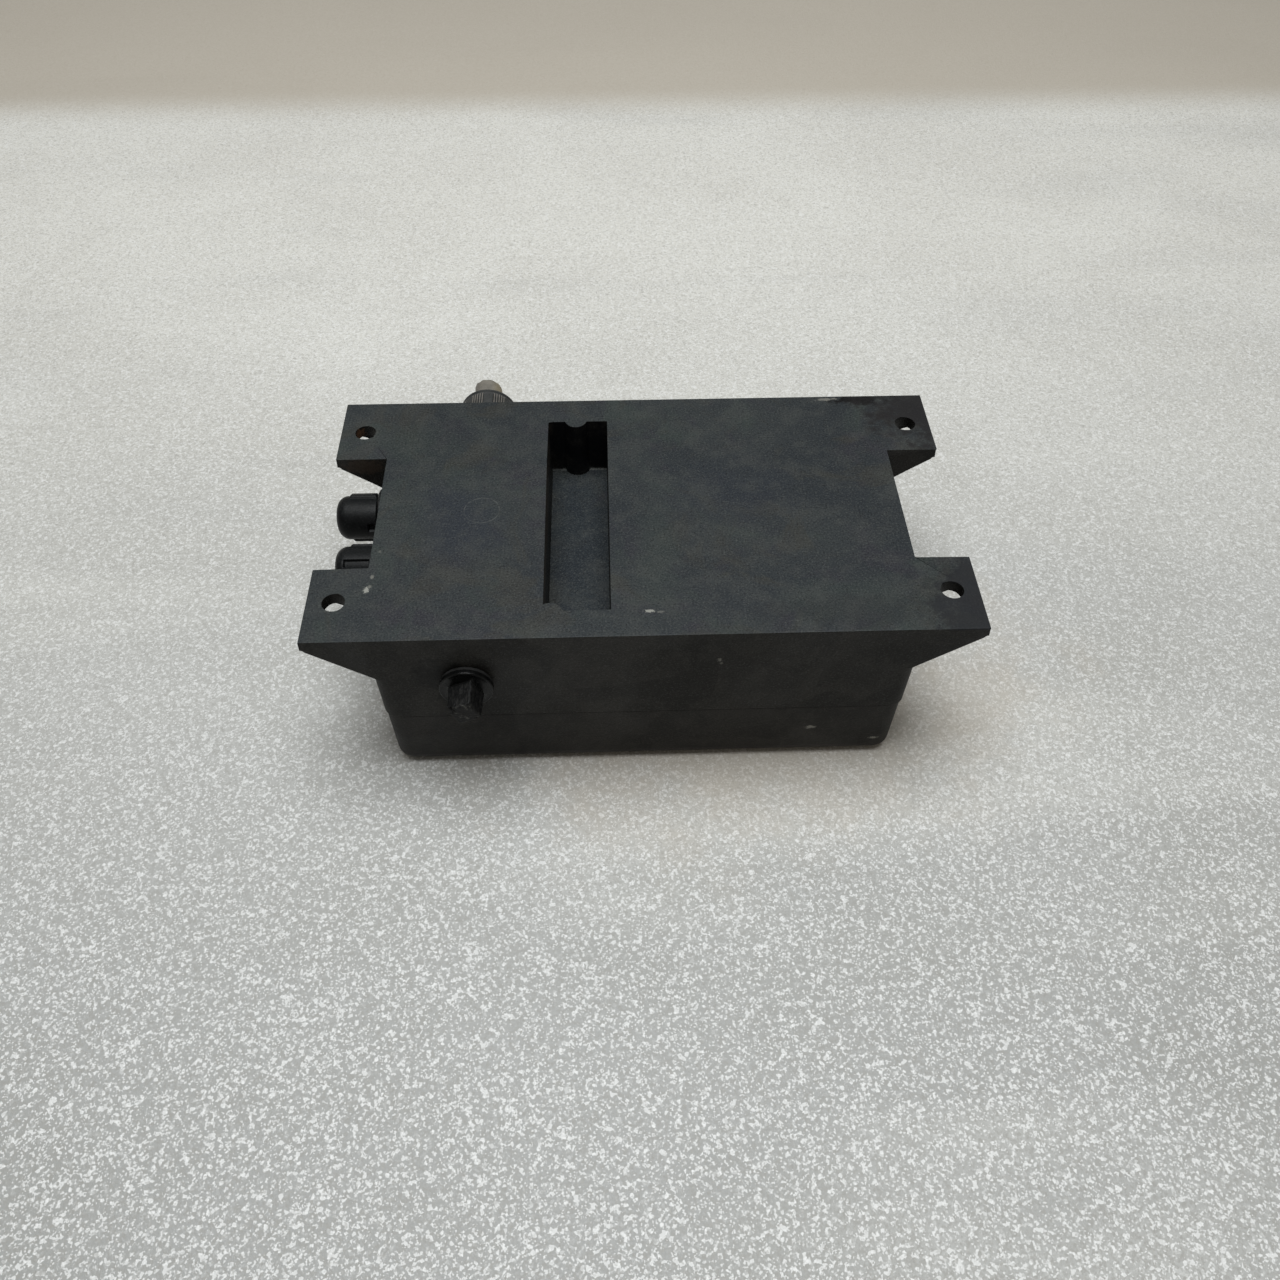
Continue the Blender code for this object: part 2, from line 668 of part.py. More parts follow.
def build_cap(number, y, face):
    """One screw cap over a socket, and the soft disc inside its end."""
    place = (SOCKET_SEAT_X, y, SOCKET_Z)
    base = face + CAP_STAND_OFF
    end = base + CAP_LENGTH
    inner_end = end - CAP_END_WALL
    profile = [(0.0, end)] + rounded_corner(CAP_RADIUS, end, 0.0032)
    profile += [
        (CAP_RADIUS, base + 0.0004),
        (CAP_RADIUS - 0.0004, base),
        (CAP_BORE_RADIUS, base),
        (CAP_BORE_RADIUS, inner_end),
        (0.0, inner_end),
    ]
    cap = add_turned(f"cap_{number}", profile, FITTING, place, LEFT, 28)
    join(cap, f"cap_ribs_{number}", cap_ribs(CAP_RIB_ANGLE[number], base), place, LEFT)
    low, high = CAP_GROOVE_SPAN[number]
    grooves = cap_grooves(CAP_GROOVE_ANGLE[number], base + low, base + high)
    cut(cap, f"cap_grooves_{number}", grooves, place, LEFT)
    seal = bmesh.new()
    high = inner_end - FIT_GAP
    add_rod(seal, (0, 0, high - CAP_SEAL_THICK), (0, 0, high), CAP_BORE_RADIUS - FIT_GAP, 20)
    add_object(f"cap_{number}_seal", seal, RUBBER, place, LEFT)


# ---------------------------------------------------------------- gland, cable and blanking plug

GLAND_PLACE = (ENTRY_X, WIDTH / 2, ENTRY_Z)
PLUG_PLACE = (ENTRY_X, -WIDTH / 2, ENTRY_Z)
CABLE_BORE = CABLE_RADIUS + 0.0004
MOUTH_RADIUS = 0.0072
MOUTH_LOW = 0.008
SEAL_END = 0.0158


def build_gland():
    """The cable gland, from the wall outwards."""
    seal_ring = ring_profile(GLAND_NECK_RADIUS + FIT_GAP, 0.0098, FIT_GAP, GLAND_HEX_LOW - FIT_GAP)
    add_turned("gland_o_ring", seal_ring, RUBBER, GLAND_PLACE, BACK, closed=True)

    profile = [
        (GLAND_THREAD_RADIUS - 0.0004, GLAND_THREAD_END),
        (GLAND_THREAD_RADIUS, GLAND_THREAD_END - 0.0004),
        (GLAND_THREAD_RADIUS, 0.0045),
        (0.0096, 0.0045),
        (0.0096, GLAND_HEX_LOW),
        (GLAND_NECK_RADIUS, GLAND_HEX_LOW),
        (GLAND_NECK_RADIUS, -GLAND_INSIDE),
        (CABLE_BORE, -GLAND_INSIDE),
        (CABLE_BORE, MOUTH_LOW),
        (MOUTH_RADIUS, MOUTH_LOW),
        (MOUTH_RADIUS, GLAND_THREAD_END),
    ]
    body = add_turned("gland_body", profile, FITTING, GLAND_PLACE, BACK, closed=True)
    flange = bmesh.new()
    corner = GLAND_HEX / math.sqrt(3)
    add_rod(flange, (0, 0, GLAND_HEX_LOW), (0, 0, GLAND_HEX_HIGH), corner, 6)
    flange_helper = add_cutter("gland_hexagon", flange, GLAND_PLACE, BACK)
    middle = bmesh.new()
    add_rod(middle, (0, 0, -0.001), (0, 0, 0.02), GLAND_NECK_RADIUS - 0.0005, 24)
    boolean(flange_helper, add_cutter("gland_hexagon_middle", middle, GLAND_PLACE, BACK), "DIFFERENCE")
    boolean(body, flange_helper, "UNION")

    seal = ring_profile(CABLE_RADIUS + FIT_GAP, MOUTH_RADIUS - FIT_GAP, MOUTH_LOW + FIT_GAP, SEAL_END)
    add_turned("gland_seal", seal, RUBBER, GLAND_PLACE, BACK, closed=True)
    slip = ring_profile(CABLE_BORE, 0.0079, SEAL_END + FIT_GAP, SEAL_END + 0.0011)
    add_turned("gland_slip_ring", slip, FITTING, GLAND_PLACE, BACK, closed=True)

    shoulder = SEAL_END + 0.0014
    nut_bore = GLAND_THREAD_RADIUS + FIT_GAP
    profile = [(0.0062, GLAND_NUT_END)] + rounded_corner(GLAND_NUT_RADIUS, GLAND_NUT_END, 0.0006, 3)
    profile += [
        (GLAND_NUT_RADIUS, GLAND_NUT_START + 0.0004),
        (GLAND_NUT_RADIUS - 0.0004, GLAND_NUT_START),
        (nut_bore, GLAND_NUT_START),
        (nut_bore, shoulder),
        (0.0056, shoulder),
        (0.0056, GLAND_NUT_END - 0.0006),
    ]
    nut = add_turned("gland_nut", profile, FITTING, GLAND_PLACE, BACK, 32, closed=True)
    grip = bmesh.new()
    low = (GLAND_NUT_RADIUS - GLAND_GRIP_DEPTH, -GLAND_GROUP_HALF, GLAND_NUT_START + 0.001)
    high = (GLAND_NUT_RADIUS + 0.002, GLAND_GROUP_HALF, GLAND_NUT_END - GLAND_NUT_RIM)
    for step in range(GLAND_NUT_GROUPS):
        angle = GLAND_NUT_TURN + 2 * math.pi * step / GLAND_NUT_GROUPS
        add_turned_box(grip, low, high, angle)
    cut(nut, "gland_grip", grip, GLAND_PLACE, BACK)

    lock = bmesh.new()
    inner_face = -WALL - FIT_GAP
    add_rod(lock, (0, 0, inner_face - 0.004), (0, 0, inner_face), corner, 6)
    lock_nut = add_object("gland_lock_nut", lock, FITTING, GLAND_PLACE, BACK)
    hole = bmesh.new()
    add_rod(hole, (0, 0, -0.02), (0, 0, 0.01), GLAND_NECK_RADIUS + FIT_GAP, 24)
    cut(lock_nut, "gland_lock_bore", hole, GLAND_PLACE, BACK)


def smooth_route(points, count):
    """Evenly numbered points of a smooth curve through a few chosen ones."""
    knots = [Vector(point) for point in points]
    knots = [2 * knots[0] - knots[1]] + knots + [2 * knots[-1] - knots[-2]]
    spans = len(points) - 1
    route = []
    for step in range(count):
        along = spans * step / (count - 1)
        span = min(int(along), spans - 1)
        t = along - span
        a, b, c, d = knots[span : span + 4]
        curve = 2 * b + (c - a) * t + (2 * a - 5 * b + 4 * c - d) * t**2
        route.append((curve + (3 * b - 3 * c + d - a) * t**3) / 2)
    return route


def add_tube(name, points, radius, look, count=12, sides_level=2):
    """A wire or cable as a POLY curve with a round bevel and closed ends."""
    curve = bpy.data.curves.new(name, "CURVE")
    curve.dimensions = "3D"
    curve.bevel_depth = radius
    curve.bevel_resolution = sides_level
    curve.use_fill_caps = True
    spline = curve.splines.new("POLY")
    route = smooth_route(points, count)
    spline.points.add(len(route) - 1)
    for point, place in zip(spline.points, route):
        point.co = (*place, 1.0)
    curve.materials.append(look)
    made = bpy.data.objects.new(name, curve)
    PARTS.objects.link(made)
    return made


def build_cable():
    """The short cable stub held by the gland, and its four cores down to the terminal block."""
    back = WIDTH / 2
    route = [
        (ENTRY_X, back - CABLE_IN, ENTRY_Z),
        (ENTRY_X, back + GLAND_NUT_END, ENTRY_Z),
        (ENTRY_X - 0.0004, back + 0.026, ENTRY_Z),
        (ENTRY_X - 0.0011, back + CABLE_OUT, ENTRY_Z),
    ]
    add_tube("cable_stub", route, CABLE_RADIUS, CABLE_GREY, 8, 4)
    start_y = back - CABLE_IN - FIT_GAP
    for index, (colour, look) in enumerate(WIRE_COLOURS.items()):
        side = -0.00165 if index < 2 else 0.00165
        level = 0.00165 if index in (1, 2) else -0.00165
        end_x = TERMINAL_X + (index - 1.5) * TERMINAL_PITCH
        end_y = TERMINAL_Y - (0.0025 if index in (1, 2) else 0.0)
        middle_x = (ENTRY_X + end_x) / 2 + side / 2
        middle_y = (start_y + end_y) / 2 - 0.002 - level
        route = [
            (ENTRY_X + side, start_y, ENTRY_Z + level),
            (ENTRY_X + side, start_y - 0.004 - level, ENTRY_Z + level - 0.0012),
            (middle_x, middle_y, 0.0345 + level),
            (end_x, end_y, 0.0275),
            (end_x, end_y, PART_Z + TERMINAL_HEIGHT + FIT_GAP),
        ]
        add_tube(f"wire_{colour}", route, WIRE_RADIUS, look, 10)


def build_plug():
    """The blanking plug at the front: square head, flange and neck, and the washer under it."""
    neck = PLUG_NECK_RADIUS + FIT_GAP
    low = FIT_GAP + PLUG_WASHER_THICK
    washer = ring_profile(neck, PLUG_FLANGE_RADIUS - 0.0004, FIT_GAP, low)
    add_turned("blanking_plug_washer", washer, RUBBER, PLUG_PLACE, FRONT, closed=True)
    low += FIT_GAP
    profile = [(0.0, PLUG_FLANGE_FACE)]
    profile += rounded_corner(PLUG_FLANGE_RADIUS, PLUG_FLANGE_FACE, 0.0005, 3)
    profile += [
        (PLUG_FLANGE_RADIUS, low),
        (PLUG_NECK_RADIUS, low),
        (PLUG_NECK_RADIUS, -PLUG_INSIDE + 0.0008),
        (PLUG_NECK_RADIUS - 0.0008, -PLUG_INSIDE),
        (0.0, -PLUG_INSIDE),
    ]
    plug = add_turned("blanking_plug", profile, FITTING, PLUG_PLACE, FRONT, 28)
    half = PLUG_SQUARE / 2
    tip = half - 0.0002
    head = tapered_block((half, half), PLUG_FLANGE_FACE - 0.001, (tip, tip), PLUG_END)
    edges = [edge for edge in head.edges if any(v.co.z > PLUG_FLANGE_FACE for v in edge.verts)]
    round_edges(head, edges, 0.0004, 2)
    bmesh.ops.rotate(head, verts=head.verts, cent=(0, 0, 0), matrix=Matrix.Rotation(PLUG_TURN, 3, "Z"))
    join(plug, "square_head", head, PLUG_PLACE, FRONT)


# ---------------------------------------------------------------- circuit board and what is on it


def add_block(name, x, y, size, look, low_z=PART_Z, rounding=0.0003):
    """A moulded component standing on the board."""
    low = (x - size[0] / 2, y - size[1] / 2, low_z)
    high = (x + size[0] / 2, y + size[1] / 2, low_z + size[2])
    shape = bmesh.new()
    add_box(shape, low, high)
    round_edges(shape, list(shape.edges), rounding, 1)
    return add_object(name, shape, look)


def build_board():
    """The circuit board and its four screws."""
    shape = bmesh.new()
    add_box(
        shape,
        (-BOARD_HALF[0], -BOARD_HALF[1], BOARD_LOW_Z),
        (BOARD_HALF[0], BOARD_HALF[1], BOARD_LOW_Z + BOARD_THICK),
    )
    board = add_object("circuit_board", shape, BOARD_GREEN)
    places = [(sx * BOARD_SCREW[0], sy * BOARD_SCREW[1]) for sx in (-1, 1) for sy in (-1, 1)]
    cut(board, "board_holes", posts(places, 0.0, 0.02, 0.0016, 16))
    for number, (x, y) in enumerate(places, 1):
        profile = [
            (0.0, PART_Z + 0.0019),
            (0.0019, PART_Z + 0.0019),
            (0.0026, PART_Z + 0.0012),
            (0.0026, PART_Z),
            (0.0012, PART_Z),
            (0.0012, 0.0045),
            (0.0, 0.0042),
        ]
        screw = add_turned(f"board_screw_{number}", profile, STEEL, (x, y, 0.0), steps=12)
        slot = bmesh.new()
        add_box(slot, (-0.004, -0.0004, PART_Z + 0.001), (0.004, 0.0004, PART_Z + 0.003))
        cut(screw, f"board_screw_slot_{number}", slot, (x, y, 0.0))


def build_heat_sink():
    """A finned aluminium sink along the right end of the board, and two power transistors on it."""
    shape = bmesh.new()
    add_box(shape, (0.0475, -0.0255, PART_Z), (0.0500, 0.0255, PART_Z + 0.026))
    sink = add_object("heat_sink", shape, ALUMINIUM)
    fins = bmesh.new()
    for step in range(7):
        y = -0.0247 + step * 0.0082
        add_box(fins, (0.0495, y - 0.0007, PART_Z), (0.0570, y + 0.0007, PART_Z + 0.026))
    join(sink, "sink_fins", fins)
    for number, y in ((1, -0.013), (2, 0.013)):
        size = (0.0045, 0.010, 0.0155)
        name = f"power_transistor_{number}"
        block = add_block(name, 0.0449, y, size, CHIP_BLACK, PART_Z + 0.004)
        legs = bmesh.new()
        for leg in (-1, 0, 1):
            centre = y + leg * 0.00254
            add_box(legs, (0.0445, centre - 0.0004, PART_Z), (0.0450, centre + 0.0004, PART_Z + 0.006))
        join(block, f"transistor_legs_{number}", legs)


def build_terminal_block():
    """A four-way screw terminal block under the cable's cores."""
    size = (0.0215, 0.010, TERMINAL_HEIGHT)
    block = add_block("terminal_block", TERMINAL_X, TERMINAL_Y, size, TERMINAL_GREEN)
    mouths = bmesh.new()
    half = 0.0016
    for index in range(4):
        x = TERMINAL_X + (index - 1.5) * TERMINAL_PITCH
        low = (x - half, TERMINAL_Y - 0.0065, PART_Z + 0.0015)
        add_box(mouths, low, (x + half, TERMINAL_Y - 0.0035, PART_Z + 0.006))
    cut(block, "terminal_mouths", mouths)


def build_capacitors():
    for number, (x, y) in enumerate(((0.014, 0.026), (0.014, 0.010)), 1):
        top = PART_Z + 0.025
        profile = [
            (0.0, top - 0.0003),
            (0.0052, top - 0.0003),
            (0.0055, top),
            (0.0061, top - 0.0005),
            (0.0063, top - 0.0012),
            (0.0063, PART_Z + 0.003),
            (0.0059, PART_Z + 0.0024),
            (0.0063, PART_Z + 0.0018),
            (0.0063, PART_Z + 0.0004),
            (0.0059, PART_Z),
            (0.0, PART_Z),
        ]
        add_turned(f"capacitor_{number}", profile, SLEEVE, (x, y, 0.0), steps=16)


def build_inductor():
    """A toroidal choke lying on the board, its winding taken as one ring with ridges."""
    steps = 8
    centre = 0.0064
    section = 0.0036
    profile = []
    for index in range(steps):
        angle = -2 * math.pi * index / steps + math.pi / 2
        profile.append((centre + section * math.cos(angle), PART_Z + section + section * math.sin(angle)))
    add_turned("inductor", profile, COPPER, (0.016, -0.014, 0.0), steps=20, closed=True)


def build_electronics():
    """Everything else that stands on the board."""
    add_block("microcontroller", 0.032, -0.002, (0.014, 0.014, 0.0016), CHIP_BLACK)
    add_block("motion_sensor", 0.032, 0.024, (0.008, 0.008, 0.0024), ALUMINIUM)
    for number, y in ((1, 0.018), (2, -0.006)):
        add_block(f"relay_{number}", -0.018, y, (0.019, 0.0155, 0.0154), RELAY_BLUE, rounding=0.0005)
    holder = add_block("fuse_holder", -0.050, -0.026, (0.020, 0.0075, 0.009), CHIP_BLACK)
    mouth = bmesh.new()
    add_box(mouth, (-0.0575, -0.0275, PART_Z + 0.005), (-0.0425, -0.0245, PART_Z + 0.010))
    cut(holder, "fuse_mouth", mouth)
    fuse_z = PART_Z + 0.009 + FIT_GAP
    fuse = add_block("fuse", -0.050, -0.026, (0.0185, 0.0036, 0.0075), FUSE_AMBER, fuse_z)
    blades = bmesh.new()
    for side in (-1, 1):
        x = -0.050 + side * 0.0045
        add_box(blades, (x - 0.002, -0.0264, PART_Z + 0.0054), (x + 0.002, -0.0256, PART_Z + 0.010))
    join(fuse, "fuse_blades", blades)
    for number, (x, y) in HEADERS.items():
        add_block(f"header_{number}", x, y, (0.006, 0.012, HEADER_HEIGHT), CHIP_BLACK)


def build_socket_leads():
    """One sheathed lead from the back of each socket down to its header on the board."""
    start_x = SOCKET_SEAT_X + SOCKET_INSIDE + 0.0015 + FIT_GAP
    for number, (y, _) in SOCKETS.items():
        x_end, y_end = HEADERS[number]
        route = [
            (start_x, y, SOCKET_Z),
            (start_x + 0.004, y, SOCKET_Z - 0.001),
            (start_x + 0.0105, (y + y_end) / 2, SOCKET_Z - 0.010),
            (x_end, y_end, PART_Z + 0.017),
            (x_end, y_end, PART_Z + HEADER_HEIGHT + FIT_GAP),
        ]
        add_tube(f"socket_{number}_lead", route, 0.0016, WIRE_COLOURS["black"], 10)


def main():
    build_housing()
    build_cover()
    build_gasket()
    build_cover_screws()
    for number, (y, spacer) in SOCKETS.items():
        face = build_socket(number, y, spacer)
        build_cap(number, y, face)
    build_gland()
    build_cable()
    build_plug()
    build_board()
    build_heat_sink()
    build_terminal_block()
    build_capacitors()
    build_inductor()
    build_electronics()
    build_socket_leads()


main()
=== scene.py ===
"""Looks for the brake controller unit: a black moulded box with a mounting plate, two capped sockets,
a cable gland with a cut cable, and a square-headed blanking plug, standing on a pale floor.

Metres, +Z up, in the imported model's own frame: the origin is under the middle of the box, +X runs
away from the sockets and +Y runs towards the cable gland.
"""

import json
import math

import bmesh
import bpy
from mathutils import Matrix, Vector, noise


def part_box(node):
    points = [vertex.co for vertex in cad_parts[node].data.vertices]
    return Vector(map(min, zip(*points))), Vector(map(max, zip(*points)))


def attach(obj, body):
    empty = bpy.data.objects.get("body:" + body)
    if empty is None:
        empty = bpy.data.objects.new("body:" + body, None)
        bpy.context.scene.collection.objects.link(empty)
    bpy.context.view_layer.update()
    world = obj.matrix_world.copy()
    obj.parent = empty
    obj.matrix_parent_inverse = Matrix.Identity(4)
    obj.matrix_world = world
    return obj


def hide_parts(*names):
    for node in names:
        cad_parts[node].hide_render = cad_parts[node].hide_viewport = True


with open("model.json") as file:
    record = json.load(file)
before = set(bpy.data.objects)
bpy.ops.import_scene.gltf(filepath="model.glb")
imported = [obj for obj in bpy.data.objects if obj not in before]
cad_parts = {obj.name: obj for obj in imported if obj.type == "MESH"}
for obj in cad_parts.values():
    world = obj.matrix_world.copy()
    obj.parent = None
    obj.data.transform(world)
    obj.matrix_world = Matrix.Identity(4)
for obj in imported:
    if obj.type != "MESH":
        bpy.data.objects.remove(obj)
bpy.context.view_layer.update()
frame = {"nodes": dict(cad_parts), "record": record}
NODES = frame["nodes"]
TAU = 2 * math.pi

PLATE_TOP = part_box("housing")[1].z
FRONT_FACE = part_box("housing")[0].y
BACK_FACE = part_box("housing")[1].y

# Directions in which local Z points outward
LEFT = (0.0, -math.pi / 2, 0.0)
BACK = (-math.pi / 2, 0.0, 0.0)
FRONT = (math.pi / 2, 0.0, 0.0)


# ---------------------------------------------------------------- materials


def shade(colour, factor, lift=0.0):
    """A colour made darker or lighter by a factor, and raised by lift, up to white."""
    return tuple(min(1.0, factor * part + lift) for part in colour)


class Look:
    """One procedural material, built node by node in the piece's own coordinates."""

    def __init__(self, name, **fixed):
        self.material = bpy.data.materials.new(name)
        self.material.use_nodes = True
        self.tree = self.material.node_tree
        self.shader = self.tree.nodes["Principled BSDF"]
        self.place = self.add("ShaderNodeTexCoord").outputs["Object"]
        for socket, value in fixed.items():
            self.shader.inputs[socket.replace("_", " ")].default_value = value

    def feed(self, socket, value):
        if isinstance(value, bpy.types.NodeSocket):
            self.tree.links.new(value, socket)
        elif isinstance(value, tuple) and len(value) == 3 and socket.type == "RGBA":
            socket.default_value = (*value, 1.0)
        else:
            socket.default_value = value

    def add(self, kind, inputs=(), **settings):
        node = self.tree.nodes.new(kind)
        for key, value in settings.items():
            setattr(node, key, value)
        for key, value in dict(inputs).items():
            self.feed(node.inputs[key], value)
        return node

    def math(self, operation, a, b=0.0):
        return self.add("ShaderNodeMath", {0: a, 1: b}, operation=operation).outputs[0]

    def noise(self, scale, detail=3.0, rough=0.5, stretch=None, warp=0.0):
        """A noise value from 0 to 1. Stretch multiplies the scale along each axis."""
        place = self.place
        if stretch:
            mapping = self.add("ShaderNodeMapping", {"Vector": place, "Scale": stretch})
            place = mapping.outputs["Vector"]
        values = {"Vector": place, "Scale": scale, "Detail": detail, "Roughness": rough}
        values["Distortion"] = warp
        return self.add("ShaderNodeTexNoise", values).outputs[0]

    def step(self, value, low, high, start=0.0, end=1.0):
        """A smooth step of value from low to high."""
        values = {0: value, 1: low, 2: high, 3: start, 4: end}
        node = self.add("ShaderNodeMapRange", values, interpolation_type="SMOOTHSTEP")
        return node.outputs[0]

    def mix(self, factor, a, b):
        node = self.add("ShaderNodeMix", {0: factor, 6: a, 7: b}, data_type="RGBA")
        return node.outputs[2]

    def times(self, *values):
        result = values[0]
        for value in values[1:]:
            result = self.math("MULTIPLY", result, value)
        return result

    def facing_up(self):
        """1 on faces that look up, 0 on walls."""
        normal = self.add("ShaderNodeNewGeometry").outputs["Normal"]
        upward = self.add("ShaderNodeSeparateXYZ", {0: normal}).outputs[2]
        return self.step(upward, 0.6, 0.9)

    def axis(self, index):
        return self.add("ShaderNodeSeparateXYZ", {0: self.place}).outputs[index]

    def spot(self, centre, reach, ragged=0.9, scale=900.0, soft=0.6):
        """1 within a ragged blob about a point of the piece, 0 outside it. Reach is its half size along
        each axis."""
        values = {"Vector": self.place, "Location": tuple(-c / r for c, r in zip(centre, reach))}
        values["Scale"] = tuple(1 / r for r in reach)
        mapped = self.add("ShaderNodeMapping", values).outputs["Vector"]
        away = self.add("ShaderNodeVectorMath", {0: mapped}, operation="LENGTH").outputs["Value"]
        wander = self.math("SUBTRACT", self.noise(scale, 4.0, 0.75), 0.5)
        far = self.math("ADD", away, self.math("MULTIPLY", wander, 2 * ragged))
        return self.step(far, 1.0 - soft, 1.0, 1.0, 0.0)

    def circle(self, centre, radius, half=0.00028):
        """A faint broken line round a point of the piece."""
        away = self.add("ShaderNodeVectorMath", {0: self.place, 1: centre}, operation="DISTANCE")
        off = self.math("ABSOLUTE", self.math("SUBTRACT", away.outputs["Value"], radius))
        broken = self.step(self.noise(420.0, 3.0, 0.7), 0.40, 0.62, 0.12, 0.55)
        return self.times(self.step(off, 0.3 * half, half, 1.0, 0.0), broken)

    def bump(self, height, distance, strength=1.0, under=None):
        values = {"Height": height, "Distance": distance, "Strength": strength}
        if under is not None:
            values["Normal"] = under
        return self.add("ShaderNodeBump", values).outputs[0]

    def finish(self, colour=None, roughness=None, normal=None):
        if colour is not None:
            self.feed(self.shader.inputs["Base Color"], colour)
        if roughness is not None:
            self.feed(self.shader.inputs["Roughness"], roughness)
        if normal is not None:
            self.feed(self.shader.inputs["Normal"], normal)
        return self.material


def moulded_plastic(
    name,
    top,
    wall,
    dust,
    rough=(0.46, 0.62),
    shine=0.22,
    grain=1.0,
    tints=(),
    clouds=(),
    marks=(),
    ring=None,
):
    """Glass-filled moulded plastic: fine grain, handling patches, and dust on faces that look up.

    Top and wall are each a dark and a light tone; the top tones are lighter than the wall tones, painted
    light on faces that look up and painted shade on walls. Tints are (scale, strength, colour) smears all
    over the upper faces. Clouds are wide (centre, reach, strength, colour) patches of the upper faces.
    Marks
    lie over everything: (centre, reach, strength, colour, kept to walls). Ring is the (centre, radius)
    of a faint pale circle.
    """
    look = Look(name, IOR=1.5, Specular_IOR_Level=shine)
    broad = look.step(look.noise(21.0, 5.0, 0.6, warp=0.8), 0.36, 0.64)
    mottle = look.noise(130.0, 5.0, 0.62)
    speckle = look.noise(1700.0, 3.0, 0.75)
    fine = look.noise(4200.0, 2.0, 0.6)
    upward = look.facing_up()

    face = look.mix(broad, *top)
    for scale, strength, tint in tints:
        smear = look.step(look.noise(scale, 5.0, 0.65, warp=1.2), 0.50, 0.64)
        face = look.mix(look.times(smear, strength), face, tint)
    for centre, reach, strength, tint in clouds:
        face = look.mix(look.times(look.spot(centre, reach, 0.7, 60.0, 0.8), strength), face, tint)
    patches = look.times(look.step(mottle, 0.44, 0.66), 0.38)
    face = look.mix(patches, face, dust)
    side = look.mix(look.step(mottle, 0.38, 0.62), *wall)
    smudge = look.step(look.noise(36.0, 4.0, 0.6, warp=1.2), 0.50, 0.60)
    side = look.mix(look.times(smudge, 0.8), side, shade(wall[0], 0.6))
    # Faces that look up take the lighter top tones and walls the darker wall tones: painted light and shade
    colour = look.mix(upward, side, face)
    grains = look.times(look.step(speckle, 0.50, 0.72), look.step(upward, 0.0, 1.0, 0.35, 0.75))
    colour = look.mix(grains, colour, shade(dust, 1.45))
    pits = look.step(speckle, 0.32, 0.47, 0.80, 0.0)
    colour = look.mix(pits, colour, shade(wall[0], 0.5))
    specks = look.times(look.step(look.noise(2300.0, 1.0, 0.5), 0.79, 0.84), upward, 0.5)
    colour = look.mix(specks, colour, (0.20, 0.21, 0.20))
    if ring:
        colour = look.mix(look.circle(*ring), colour, (0.095, 0.100, 0.096))
    for centre, reach, strength, tint, walls_only in marks:
        blob = look.times(look.spot(centre, reach, 1.3, 2.6 / max(reach)), strength)
        if walls_only:
            blob = look.times(blob, look.math("SUBTRACT", 1.0, upward))
        colour = look.mix(blob, colour, tint)

    wear = look.math("ADD", look.times(broad, 0.5), look.times(mottle, 0.5))
    roughness = look.step(wear, 0.3, 0.75, *rough)
    height = look.math("ADD", look.times(speckle, 0.7), look.times(fine, 0.3))
    normal = look.bump(height, 0.00016 * grain, 0.8)
    normal = look.bump(mottle, 0.0006, 0.2, normal)
    return look.finish(colour, roughness, normal)


def soft_rubber(name, colour):
    look = Look(name, IOR=1.45, Specular_IOR_Level=0.3)
    cloud = look.noise(300.0, 4.0, 0.6)
    fine = look.noise(3000.0, 2.0)
    tone = look.mix(look.step(cloud, 0.35, 0.7), colour, shade(colour, 1.9))
    roughness = look.step(cloud, 0.3, 0.7, 0.62, 0.85)
    return look.finish(tone, roughness, look.bump(fine, 0.00008, 0.6))


def worked_metal(name, colour, dull, rough=(0.24, 0.46), stretch=(1.0, 1.0, 8.0)):
    """Plated or drawn metal: fine directional scratches, and a cloudy, duller film in places."""
    look = Look(name, Metallic=1.0)
    film = look.noise(220.0, 4.0, 0.6)
    lines = look.noise(1800.0, 3.0, 0.6, stretch)
    tone = look.mix(look.step(film, 0.4, 0.7), colour, dull)
    wear = look.math("ADD", look.times(film, 0.6), look.times(lines, 0.4))
    roughness = look.step(wear, 0.35, 0.65, *rough)
    return look.finish(tone, roughness, look.bump(lines, 0.00004, 0.4))


def glossy_mould(name, colour, rough=(0.28, 0.42)):
    """A smooth moulded case with faint swirls of flow and a fine texture."""
    look = Look(name, IOR=1.5)
    flow = look.noise(140.0, 4.0, 0.55, warp=1.2)
    fine = look.noise(2600.0, 3.0, 0.6)
    tone = look.mix(look.step(flow, 0.35, 0.7), colour, shade(colour, 1.35, 0.01))
    tone = look.mix(look.step(fine, 0.6, 0.8, 0.0, 0.25), tone, shade(colour, 0.6))
    roughness = look.step(flow, 0.3, 0.7, *rough)
    return look.finish(tone, roughness, look.bump(fine, 0.00005, 0.5))


def board_laminate(name):
    """Solder mask over copper tracks and rows of plated pads."""
    look = Look(name, IOR=1.5, Specular_IOR_Level=0.6)
    values = {"Vector": look.place, "Scale": 95.0, "Mortar Size": 0.06}
    values |= {"Brick Width": 1.7, "Row Height": 0.34}
    tracks = look.add("ShaderNodeTexBrick", values).outputs["Fac"]
    cells = look.add("ShaderNodeTexVoronoi", {"Vector": look.place, "Scale": 260.0, "Randomness": 0.15})
    pads = look.step(cells.outputs["Distance"], 0.16, 0.2, 1.0, 0.0)
    glass = look.noise(1400.0, 2.0, 0.5, (1.0, 6.0, 1.0))
    tone = look.mix(tracks, (0.010, 0.075, 0.028), (0.022, 0.14, 0.05))
    tone = look.mix(look.times(glass, 0.3), tone, (0.008, 0.05, 0.02))
    tone = look.mix(pads, tone, (0.52, 0.50, 0.44))
    roughness = look.step(glass, 0.3, 0.7, 0.28, 0.42)
    height = look.math("ADD", look.times(tracks, 0.5), look.times(pads, 0.6))
    return look.finish(tone, roughness, look.bump(height, 0.0001, 0.6))


